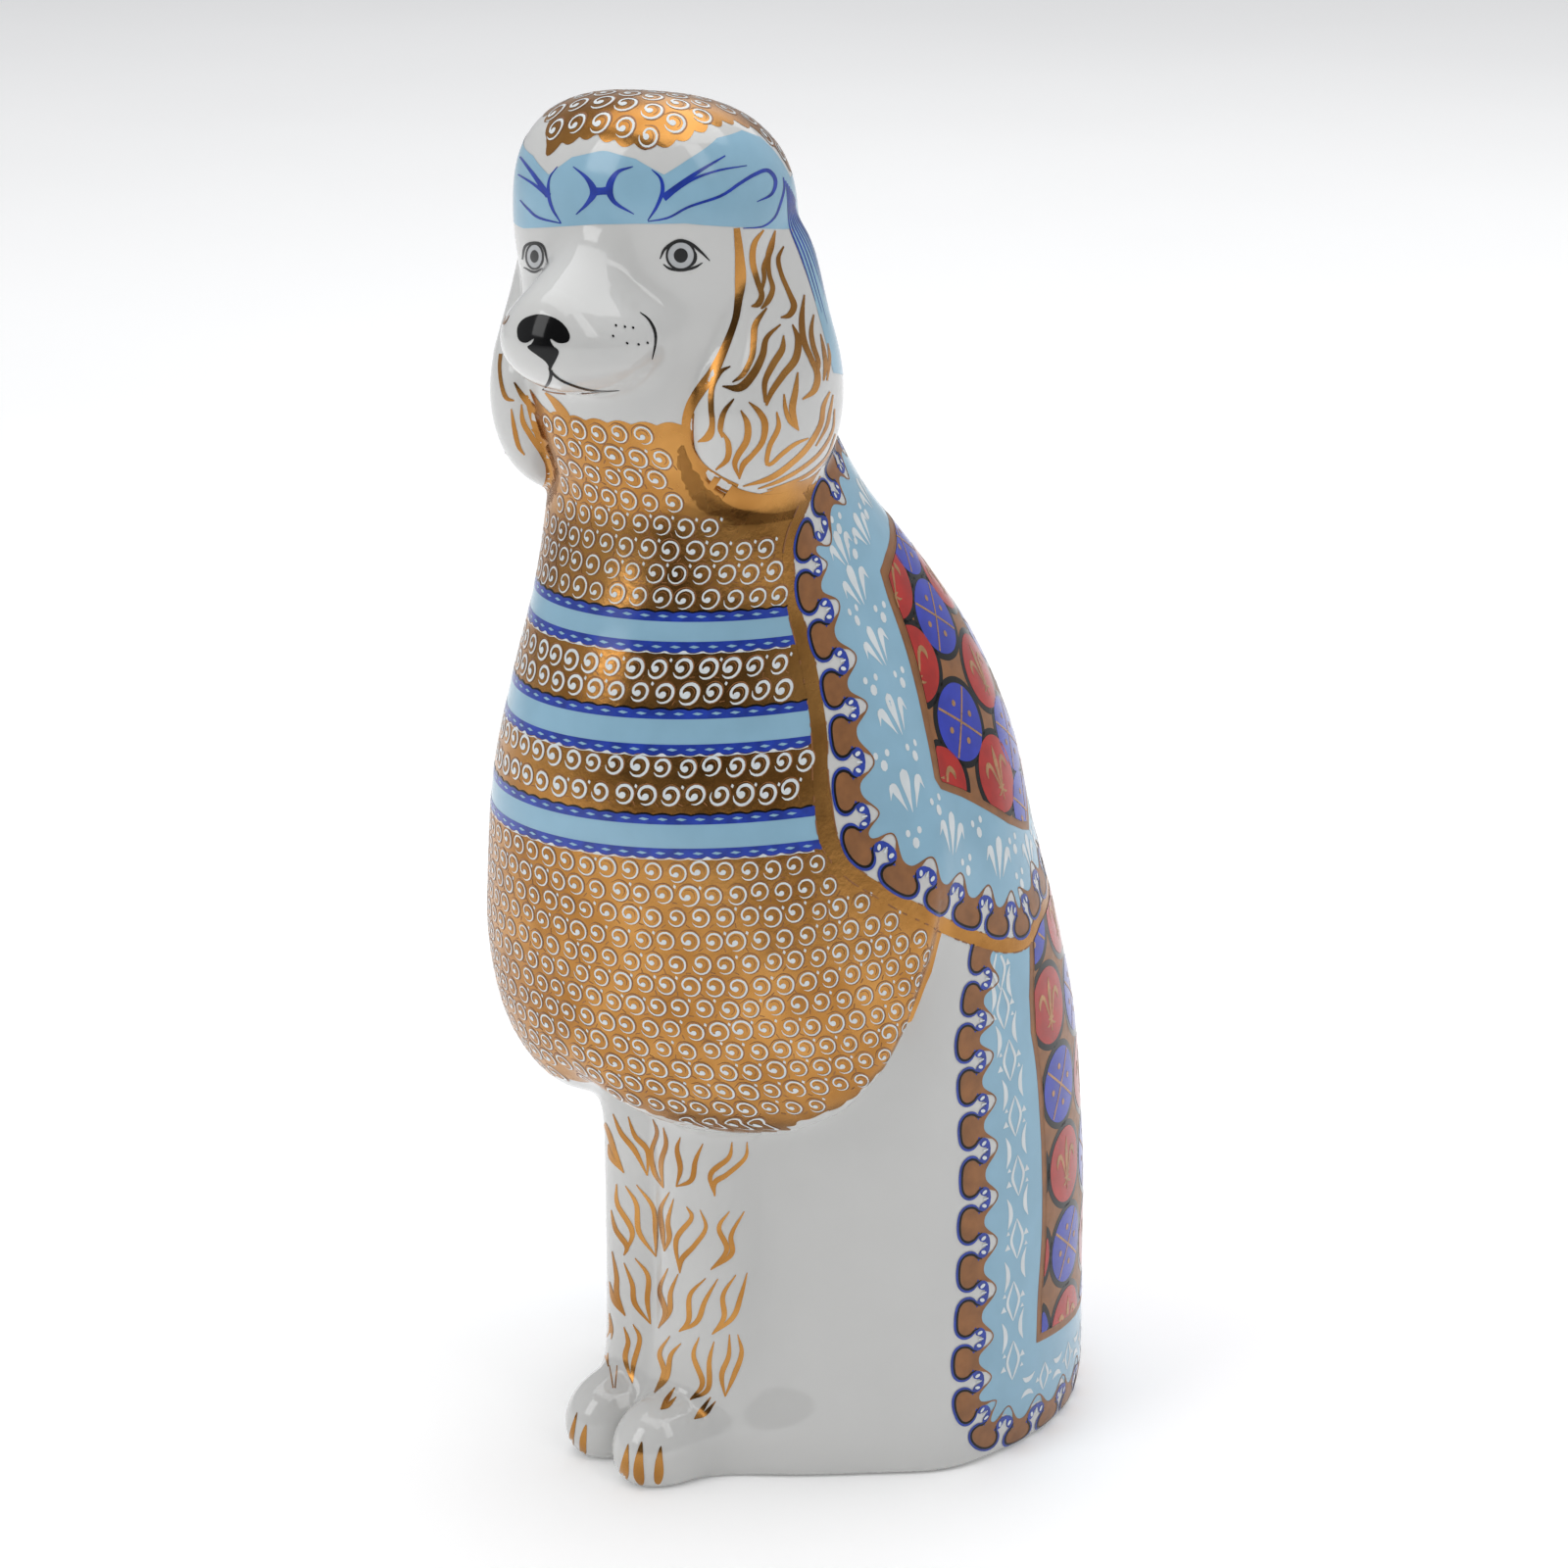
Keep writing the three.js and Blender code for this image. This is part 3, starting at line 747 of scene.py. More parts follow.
# ---- gold of the mane
HEM_S = ([0, 5, 11.2, 19.9, 20.8, 33.3, 45.4, 55.2, 65.9, 69.5, 71.2, 74], [64.5, 64.6, 64.0, 61.5, 58.7, 60.3, 64.9, 70.4, 76.7, 84.6, 90.0, 97])
STRIPES = [(139.3, 145.0), (124.0, 130.5), (108.2, 114.6)]


def g_mane(P):
    sz = sz_of(P)
    s, z = np.abs(sz[:, 0]), sz[:, 1]
    u, v = cape_v(P)
    g = np.maximum(np.interp(s, *HEM_S) - 0.5*np.abs(np.cos(s*np.pi/3.7)) - z, z - 174.2 - 0.55*np.abs(np.sin(s*np.pi/3.9)))
    g = np.maximum(g, np.interp(u, *V_OUT) - 0.6 - v)
    for lo, hi in STRIPES:
        g = np.maximum(g, np.minimum(z - lo, hi - z) - 0.15)
    return g


add_field("mane_gold", field(g_mane, pre=BODYM & (SP[:, 2] > 55)))

# ---- gold binding of the cape
def g_band(P):
    u, v = cape_v(P)
    return np.maximum(v - np.interp(u, *V_OUT), np.interp(u, *V_IN) - v)


NEARC = BODYM & (SP[:, 2] > 78)
_u, _v = cape_v(SP[NEARC])
_m = np.zeros(len(SP), bool)
_m[np.flatnonzero(NEARC)[np.abs(_v) < 9]] = True
add_field("cape_binding", field(g_band, pre=_m))
add_field("binding_edges", field(lambda P: (lambda u, v: np.minimum(np.abs(v - np.interp(u, *V_OUT)), np.abs(v - np.interp(u, *V_IN))) - 0.13)(*cape_v(P)), pre=_m, levels=2))

# ---- stripes round the chest
for k, (lo, hi) in enumerate(STRIPES):
    def g_st(P, lo=lo + 1.2, hi=hi - 1.2):
        z = P[:, 2]
        u, v = cape_v(P)
        return np.maximum(np.maximum(lo - z, z - hi), np.interp(u, *V_OUT) - v)
    add_field("chest_stripes", field(g_st, pre=BODYM & (SP[:, 2] > lo - 1) & (SP[:, 2] < hi + 1)))

    def g_lace(P, lo=lo, hi=hi):
        z, s = P[:, 2], np.abs(sz_of(P)[:, 0])
        u, v = cape_v(P)
        w = 0.28*np.abs(np.sin(s*np.pi/2.9))
        g = np.minimum(np.maximum(lo - w - z, z - lo - 1.35), np.maximum(z - hi - w, hi - 1.35 - z))
        return np.maximum(g, np.interp(u, *V_OUT) - v)
    add_field("stripe_lace", field(g_lace, pre=BODYM & (SP[:, 2] > lo - 1.5) & (SP[:, 2] < hi + 1.5), levels=2))

# ---- cape field
def g_cape(P):
    u, v = cape_v(P)
    return v - scallop(u)


_m = BODYM & (SP[:, 2] > 78)
_u, _v = cape_v(SP[_m])
_c = np.zeros(len(SP), bool)
_c[np.flatnonzero(_m)[_v < 1.0]] = True
CAPEM = _c & (SP[:, 1] > -45)
add_field("cape_field", field(g_cape, pre=CAPEM, levels=2))

# ---- train field
def g_train(P):
    A = absx(P)
    u, v = TRAIN.of(A)
    g = v - scallop(u)
    cu, cv = CAPE.of(A)
    return np.maximum(g, np.interp(cu, *V_OUT) - cv)


_m = BODYM & (SP[:, 2] < 116) & (SP[:, 1] > -16)
_u, _v = TRAIN.of(absx(SP[_m]))
_c = np.zeros(len(SP), bool)
_c[np.flatnonzero(_m)[_v < 1.0]] = True
TRAINM = _c
add_field("train_field", field(g_train, pre=TRAINM, levels=2))

# ---- panels
UP_PANEL = [(0, 153.0), (10, 152.6), (18.8, 151.3), (29.5, 148.2), (34.3, 146.4), (37.8, 142.5), (47.6, 130.5), (53.7, 122.5),
            (59.2, 114.7), (59.0, 112.8), (54.5, 110.3), (44.1, 102.9), (39.4, 100.5), (35.5, 99.2), (31.5, 101.8), (24, 106.5),
            (15, 110.5), (7, 112.6), (0, 113.2), (-20, 113.2), (-20, 153.0)]
LOW_PANEL = [(-20, 108.0), (30.0, 108.0), (46.5, 92.0), (50.0, 83.6), (54.5, 75.0), (56.4, 69.0), (57.0, 49.6), (58.2, 36.9), (59.9, 14.6), (43.3, 13.4), (-20, 13.0)]


def g_panel(P, which, inset=0.0):
    g = poly_sd(bz_of(P), UP_PANEL if which == 0 else LOW_PANEL) + inset
    if which == 1:
        cu, cv = CAPE.of(absx(P))
        g = np.maximum(g, np.interp(cu, *V_OUT) - cv)
    return g


PM = [CAPEM & (S_B < 64) & (SP[:, 2] > 96) & (SP[:, 2] < 156), TRAINM & (S_B < 64) & (SP[:, 2] > 10) & (SP[:, 2] < 112)]
for w in (0, 1):
    add_field("panel_border", field(lambda P: g_panel(P, w), pre=PM[w]))
    add_field("panel_ground", field(lambda P: g_panel(P, w, 1.15), pre=PM[w]))


# ---- lace of cape and train
def lace(path, n, ends, mirror=True, clip=False):
    """One motif a bulb: brown bulb, its black line and cobalt halo, and between two
    bulbs a cobalt cap with two white dots on a white stem."""
    half = [(2.75, -2.35), (2.35, -1.15), (1.95, -0.35), (1.82, 0.45), (2.05, 1.15), (2.6, 1.8), (2.86, 2.7), (2.62, 3.6), (1.75, 4.28), (0.0, 4.5)]
    rim = [(1.76, 0.3), (2.05, 1.15), (2.6, 1.8), (2.86, 2.7), (2.62, 3.6), (1.75, 4.28), (0.0, 4.5)]
    def under(P, T):
        """What the cape doesn't cover."""
        if not clip or not len(T):
            return T
        cu, cv = CAPE.of(P)
        return T[(cv > np.interp(cu, *V_OUT) - 0.3)[T].all(1)]

    both = lambda h: h + [(-x, y) for x, y in h[::-1][1:]]
    w = 7.6

    def put(name, shape, c, sk=0.0):
        V, T = shape
        U = np.c_[c + V[:, 0]/w, V[:, 1] - LACE_V]
        P = path.at(U)
        T = under(P, T)
        lay(name, P, T)
        if mirror:
            lay(name, mirror_body(P), T)

    for i in range(n + 1):
        k = 1.0 + 0.06*math.sin(i*2.3)
        top = both([(x*k, y) for x, y in half])
        low = [(x, float(scallop(np.array([x/w]))[0]) + LACE_V - 0.14) for x in np.linspace(-2.75, 2.75, 12)]
        put("lace_brown", poly(top + low, 0.7), i)
        put("lace_black", stroke(both([(x*k, y) for x, y in rim]), [0.12] + [0.36]*(2*len(rim) - 3) + [0.12], 0.4), i)
        halo = [(1.70, 0.75), (2.38, 1.25), (2.96, 1.85), (3.2, 2.75), (2.92, 3.8), (1.92, 4.6), (0.0, 4.86)]
        put("lace_cobalt", stroke(both([(x*k, y) for x, y in halo]), [0.75] + [0.5, 0.42, 0.42, 0.42, 0.42] + [0.42] + [0.42]*5 + [0.75], 0.4), i)
    for i in range(ends[0], n + ends[1]):
        c = i + 0.5
        cap = [(0, -1.45), (0.95, -1.3), (1.6, -0.85), (1.95, -0.25), (2.02, 0.4), (1.75, 0.85), (1.25, 1.0), (0.8, 0.7), (0.5, 0.1), (0.36, -0.5), (0, -0.62)]
        put("lace_cobalt", poly(cap + [(-x, y) for x, y in cap[::-1][1:-1]], 0.6), c)
        for sx in (-1, 1):
            put("lace_white", disc((sx*1.12, 0.0), 0.30, 0.52, n=10, rings=1, rot=sx*0.35), c)
        put("lace_white", stroke([(0, -0.8), (0, 0.2)], [0.22, 0.34], 0.4), c)
    line = np.arange(-0.5, n + 0.5001, 0.02)
    L = np.c_[line*w, scallop(line) + LACE_V]
    V, T = ribbon(L, 0.26)
    U = np.c_[V[:, 0]/w, V[:, 1] - LACE_V]
    P = path.at(U)
    T = under(P, T)
    lay("lace_brown", P, T)
    if mirror:
        lay("lace_brown", mirror_body(P), T)


lace(CAPE, NC, (0, 0))
lace(TRAIN, NT, (0, 0), clip=True)
# the middle of the back, where the two sides meet
for path, c in ((CAPE, NC + 0.5), (CAPE, -0.5), (TRAIN, NT + 0.5)):
    V, T = poly([(0, -1.45), (0.95, -1.3), (1.6, -0.85), (1.95, -0.25), (1.75, 0.85), (0.8, 0.7), (0.36, -0.5), (-0.36, -0.5),
                 (-0.8, 0.7), (-1.75, 0.85), (-1.95, -0.25), (-1.6, -0.85), (-0.95, -1.3)], 0.6)
    lay("lace_cobalt", path.at(np.c_[c + V[:, 0]/7.6, V[:, 1] - LACE_V]), T)


# ---- curls of the mane and crown
def curl_shape(r=1.45, turn=0.0, flip=1, bold=1.0):
    th = np.radians([215, 178, 138, 95, 50, 5, -40, -80, -120, -152])
    rr = np.array([0.50, 0.84, 1.12, 1.28, 1.38, 1.44, 1.46, 1.45, 1.40, 1.34])*r/1.45
    ww = np.array([0.62, 0.46, 0.42, 0.44, 0.46, 0.46, 0.42, 0.36, 0.26, 0.06])*r/1.45*bold
    C = np.c_[np.cos(th)*rr*flip, np.sin(th)*rr]
    a = stroke(C, ww, 0.55)
    b = disc((-0.16*flip*r/1.45, -0.16), 0.54*r/1.45*(0.4 + 0.6*bold), 0.52*r/1.45*(0.4 + 0.6*bold), n=9, rings=1)
    c, s = math.cos(turn), math.sin(turn)
    R = np.array([[c, s], [-s, c]])
    return [(V @ R, T) for V, T in (a, b)]


def curl_lines(r=1.45, turn=0.0, flip=1):
    th = np.radians([150, 100, 50, 0, -50, -95])
    C = np.c_[np.cos(th)*(r + 0.30)*flip, np.sin(th)*(r + 0.30)]
    d = np.c_[np.cos(th[1:5])*(r*0.62)*flip, np.sin(th[1:5])*(r*0.62)]
    c, s = math.cos(turn), math.sin(turn)
    R = np.array([[c, s], [-s, c]])
    return [((V @ R), T) for V, T in (stroke(C, [0.03, 0.17, 0.20, 0.20, 0.16, 0.03], 0.6), stroke(d, [0.03, 0.12, 0.12, 0.03], 0.6))]


def place(shape, c):
    return shape[0] + np.asarray(c), shape[1]


PITCH = 3.72
rows = []
for z in (136.6, 132.9, 121.9, 117.6):
    rows.append((z, 3.75))
rows += [(z, PITCH) for z in np.arange(147.1, 173.5, 3.62)]
rows += [(z, PITCH) for z in np.arange(105.9, 58, -3.68)]
_cu = []
for ri, (z, pitch) in enumerate(sorted(rows)):
    off = (ri % 2)*pitch/2
    smx = float(np.interp(z, [58, 60, 70, 90, 110, 140, 150, 173], [46, 52, 60, 72, 52, 44, 40, 30]))
    for k in range(-int(smx/pitch) - 1, int(smx/pitch) + 2):
        _cu.append((k*pitch + off + RNG.normal(0, 0.10), z + RNG.normal(0, 0.10), 1.47*(1 + RNG.normal(0, 0.05)), RNG.normal(0.1, 0.35), RNG.random(), RNG.random()))
_cu = np.array(_cu)
_P = snap(core, on_s(_cu[:, :2]), 2)[0]
_g = g_mane(_P)
_e = ear_form(_P[:, 0], _P[:, 1], _P[:, 2])
for (s, z, r, t, q1, q2), g, e in zip(_cu, _g, _e):
    if g > -1.45 or e < 4.3:
        continue
    bold = 1.0 if 111 < z < 140 else float(np.interp(abs(s), [0, 30, 60], [0.62, 0.70, 0.62]))
    for sh in curl_shape(r, t, 1, bold):
        draw("curls_white", place(sh, (s, z)), on_s)
    for sh in curl_lines(r, t):
        draw("curls_line", place(sh, (s, z)), on_s)
    if g < -2.6 and e > 4 and q1 < 0.6:
        draw("curls_white", place(disc((0, 0), 0.25, 0.36, n=4, rings=1, rot=0.3), (s + PITCH*0.5, z + 1.3)), on_s)
    if g < -2.6 and e > 4 and q2 < 0.7:
        a = q2*9
        draw("curls_line", place(stroke([(-0.4*math.cos(a), -0.4*math.sin(a)), (0.4*math.cos(a), 0.4*math.sin(a))], 0.14, 0.4), (s + PITCH*0.5, z - 1.35)), on_s)


# crown: a dome mapped from millimetres round its top
def on_dome(V):
    V = np.asarray(V, float)
    d = np.hypot(V[:, 0], V[:, 1])/20.5
    a = np.arctan2(V[:, 1], V[:, 0])
    hx, hy, hz = np.sin(d)*np.cos(a), np.sin(d)*np.sin(a), np.cos(d)
    x, y = from_head(hx*22.3, hy*21.6 + 1.2)
    P = np.c_[x, y, 201.5 + hz*20.4]
    return P


def head_az(P):
    hx, hy = to_head(P[:, 0], P[:, 1])
    return np.degrees(np.arctan2(hx, -hy)) - 7.15


CROWN_A = ([-180, -110, -100, -84, -60, -48, -40, -34.8, -29, -25, -7.5, 8.5, 21.7, 35.3, 44, 57.5, 77, 91.3, 100.4, 107.6, 125, 180],
           [209.5, 210.5, 217.5, 219, 219.2, 218.6, 217.0, 214.2, 215.4, 216.3, 217.9, 217.0, 216.6, 217.1, 218.1, 219.3, 219.3, 217.7, 214.0, 210.6, 209.5, 209.5])


def g_crown(P):
    a = head_az(P)
    return np.interp(a, *CROWN_A) - 0.75*np.abs(np.cos(np.radians(a*17.1))) - P[:, 2]


add_field("crown_gold", field(g_crown, pre=SP[:, 2] > 206, levels=2))
_cc = []
for j in range(-8, 9):
    for i in range(-8, 9):
        c = (i*3.75 + (j % 2)*1.87 + RNG.normal(0, 0.1), j*3.6 + RNG.normal(0, 0.1))
        _cc.append((c[0], c[1], 1.42*(1 + RNG.normal(0, 0.06)), RNG.normal(0.2, 0.4)))
_cc = np.array(_cc)
_cc = _cc[np.hypot(_cc[:, 0], _cc[:, 1]) < 29]
_P = snap(full, on_dome(_cc[:, :2]), 4)[0]
_g = g_crown(_P)
for (a, b, r, t), g, p in zip(_cc, _g, _P):
    if g > -1.25 or p[2] < 208:
        continue
    for sh in curl_shape(r, t, 1, 0.8):
        draw("curls_white", place(sh, (a, b)), on_dome)
    for sh in curl_lines(r, t):
        draw("curls_line", place(sh, (a, b)), on_dome)


# ---- headband
UP_A = ([-180, -134.3, -118.3, -113.3, -109.3, -104.3, -91.3, -77, -66, -45.6, -30, -17, -2.4, 0, 2.4, 17, 30, 41.5, 58, 77, 90, 95, 99, 104, 120, 180],
        [211.0, 209.5, 209.5, 212.0, 214.2, 216.2, 216.8, 215.4, 214.2, 213.4, 211.2, 214.2, 215.4, 215.5, 215.5, 214.6, 212.4, 214.6, 217.2, 217.7, 216.2, 214.2, 212.0, 209.5, 209.5, 211.0])
LOW_A = ([-180, -100, -50.7, -22, -2, 18, 38.5, 63, 87.6, 100, 180],
         [202.0, 202.0, 202.1, 203.7, 204.7, 205.1, 205.2, 204.1, 202.6, 202.0, 202.0])


def g_headband(P):
    a, z = head_az(P), P[:, 2]
    up = np.interp(a, *UP_A)
    return np.maximum(np.interp(a, *LOW_A) - z, z - up)


add_field("headband", field(g_headband, pre=SP[:, 2] > 196, levels=2))


# its two tails, hanging down the back of the head between the ears
def g_tail(P):
    a, z = head_az(P), P[:, 2]
    b = np.where(a > 0, a, -a - 14.3)
    front = np.interp(z, [174, 179, 183, 189, 197, 203], [106.0, 103.5, 101.0, 98.5, 95.5, 93.5])
    rear = np.interp(z, [174, 190, 203], [163.0, 171.0, 178.0])
    g = np.maximum((front - b)*0.38, (b - rear)*0.38)
    end = 176.5 + 3.0*np.abs(b - 128)/25
    return np.maximum(np.maximum(g, end - z), z - 202.2)


add_field("headband", field(g_tail, pre=(SP[:, 2] > 172) & (SP[:, 2] < 205), levels=1))


def on_head(V):
    """Head azimuth from the knot, in degrees, and height."""
    V = np.asarray(V, float)
    a = np.radians(V[:, 0] + 7.15)
    x, y = from_head(np.sin(a)*26.0, -np.cos(a)*26.0)
    P = np.c_[x, y, V[:, 1]]
    cx, cy = from_head(np.zeros(len(V)), np.zeros(len(V)))
    for _ in range(24):
        f = full(P[:, 0], P[:, 1], P[:, 2])*0.8
        r = np.c_[P[:, 0] - cx, P[:, 1] - cy]
        r /= np.linalg.norm(r, axis=1, keepdims=True)
        P[:, :2] -= r*np.clip(f, -3, 3)[:, None]
    return P


def head_line(name, pts, w, both=False, step=0.5):
    """A line on the head in (azimuth, height); widths in millimetres."""
    S = spline(np.c_[np.asarray(pts, float)*np.array([0.36, 1.0]), np.broadcast_to(np.asarray(w, float), (len(pts),))], step=step)
    V, T = ribbon(S[:, :2], S[:, 2])
    V = V/np.array([0.36, 1.0])
    lay(name, on_head(V), T)
    if both:
        lay(name, on_head(V*np.array([-1, 1])), T)


HB = "headband_lines"


def px_line(name, pts, w, mirror=None, step=2.0):
    px_draw(name, stroke(pts, w, step), mirror)


px_line(HB, [(585, 170), (599, 182), (606, 195.5), (600, 207), (588, 219)], [1.0, 4.2, 7.6, 4.2, 1.0])
px_line(HB, [(646, 170), (630, 176), (622, 191), (627, 206), (647, 218.5)], [1.0, 4.2, 7.6, 4.4, 1.0])
px_line(HB, [(604, 195.5), (614, 195), (624, 194)], [9.5, 7.5, 9.5])
px_line(HB, [(569, 170), (561, 182), (560, 198), (564, 213), (573, 228)], [0.8, 2.0, 3.4, 3.0, 1.0])
px_line(HB, [(560, 200), (546, 180), (531, 160)], [6.5, 4.2, 2.0], mirror_head)
px_line(HB, [(560, 200), (545, 188), (529, 178)], [4.5, 2.8, 1.6], mirror_head)
px_line(HB, [(573, 228), (550, 222), (538, 212), (531, 204)], [1.2, 2.6, 2.2, 1.2], mirror_head)
px_line(HB, [(665, 173), (674, 182), (676, 195), (670, 211), (661, 225)], [0.8, 3.0, 4.0, 3.2, 1.2])
px_line(HB, [(677, 202), (700, 184), (718, 172), (740, 159)], [8.0, 5.0, 3.2, 1.4], mirror_head)
px_line(HB, [(677, 202), (705, 184), (733, 174), (762, 169)], [6.0, 3.2, 2.2, 1.0], mirror_head)
px_line(HB, [(661, 226), (682, 222), (703, 211), (735, 200), (755, 187), (770, 178), (783, 174), (791, 184), (787, 198), (772, 206)],
        [1.0, 2.2, 2.6, 3.0, 3.4, 3.8, 4.0, 3.8, 3.0, 0.8], mirror_head)
# knot by the ear and the folds of the tails
px_line(HB, [(799, 181), (800, 192), (796, 208), (790, 222), (778, 231), (758, 233)], [1.2, 2.2, 2.4, 2.2, 1.8, 1.0], mirror_head)
az = lambda sg, a: a if sg > 0 else -a - 14.3        # the same place on the other side of the head


for k in range(8):
    a0 = 92.0 + k*1.6
    for sg in (-1, 1):
        head_line(HB, [(az(sg, a0 + 3), 209.5 - k*0.5), (az(sg, a0 + 1.0), 205), (az(sg, a0 + 2 + k*1.0), 199), (az(sg, a0 + 6 + k*1.8), 191 - (k % 3)*2)], [0.45, 0.42, 0.36, 0.08])
for k in range(5):
    for sg in (-1, 1):
        head_line(HB, [(az(sg, 122 + k*8.5), 210.5), (az(sg, 126 + k*7.5), 205), (az(sg, 120 + k*7.5), 196), (az(sg, 117 + k*6.5), 186)], [0.1, 0.5, 0.36, 0.08])
for sg in (-1, 1):      # the knot at the back
    head_line(HB, [(az(sg, 165), 210.6), (az(sg, 158), 208), (az(sg, 157), 205), (az(sg, 164), 202.6)], [0.2, 0.8, 0.8, 0.2])
    head_line(HB, [(az(sg, 150), 207), (az(sg, 134), 208.4), (az(sg, 120), 208.0)], [0.7, 0.5, 0.12])
head_line(HB, [(172.85, 209.8), (173.3, 206), (172.85, 203)], [0.15, 0.7, 0.15])

# ---- face
F2 = lambda pts: zx(pts, 480, 180, 4.9)
FB = "face_black"


def ring_px(name, c, rx, ry, w, n=40):
    a = np.linspace(0, 2*np.pi, n + 1)
    V, T = ribbon(np.c_[c[0] + rx*np.cos(a), c[1] + ry*np.sin(a)], w)
    px_draw(name, (V, T))


for c, rx, ry, prx, pry, w in (((694.7, 260.6), 14.3, 14.3, 7.2, 7.4, 2.3), ((545.7, 261.6), 8.6, 12.8, 4.3, 6.5, 2.0)):
    px_draw("face_iris", disc(c, rx, ry, n=36, rings=4))
    px_draw(FB, disc(c, prx, pry, n=28, rings=2))
    ring_px(FB, c, rx, ry, w)
px_draw(FB, stroke(F2([(948, 412), (975, 360), (1040, 322), (1100, 335), (1150, 375), (1197, 422)]), [1.2, 3.0, 3.4, 3.2, 2.8, 0.9], 2))
px_draw(FB, stroke(F2([(965, 440), (1000, 462), (1060, 468), (1120, 455), (1160, 432)]), [1.2, 2.6, 2.9, 2.6, 0.9], 2))
px_draw(FB, stroke(F2([(1105, 352), (1128, 390), (1122, 430), (1092, 455)]), [0.8, 1.6, 1.6, 0.8], 2))
px_draw(FB, stroke(F2([(260, 415), (275, 350), (320, 332), (365, 350), (388, 435)]), [1.2, 2.6, 2.8, 2.6, 1.2], 2))
px_draw(FB, stroke(F2([(268, 455), (320, 478), (370, 455)]), [1.0, 2.4, 1.0], 2))
nose = F2([(235, 790), (240, 745), (275, 708), (345, 690), (420, 708), (470, 745), (497, 795), (485, 828), (440, 833), (400, 812), (412, 845), (442, 878),
           (410, 950), (398, 965), (375, 925), (288, 858), (305, 838), (318, 812), (280, 832), (248, 822)])
px_draw(FB, poly(spline(nose, step=2.0, closed=True), 2.6))
px_draw(FB, stroke(F2([(398, 950), (400, 970), (440, 1010), (500, 1040), (580, 1065), (660, 1075), (745, 1070)]), [2.6, 2.6, 2.4, 2.2, 2.0, 1.5, 0.5], 2), mirror_head)
px_draw(FB, stroke(F2([(403, 968), (402, 1000), (388, 1036), (362, 1068)]), [3.4, 3.4, 3.2, 1.0], 2))
px_draw("face_brown", stroke(F2([(360, 1068), (420, 1082), (490, 1088), (560, 1087), (650, 1079)]), [0.6, 1.2, 1.2, 1.0, 0.4], 2))
px_draw(FB, stroke(F2([(848, 680), (890, 715), (920, 770), (925, 830), (908, 915)]), [0.8, 2.2, 2.8, 2.4, 0.7], 2), mirror_head)
for c in [(727, 745), (772, 752), (813, 757), (713, 798), (783, 834), (840, 840), (885, 832)]:
    p = F2([c])[0]
    px_draw(FB, disc(p, 1.5, 1.15, n=10, rings=1, rot=0.9), mirror_head)

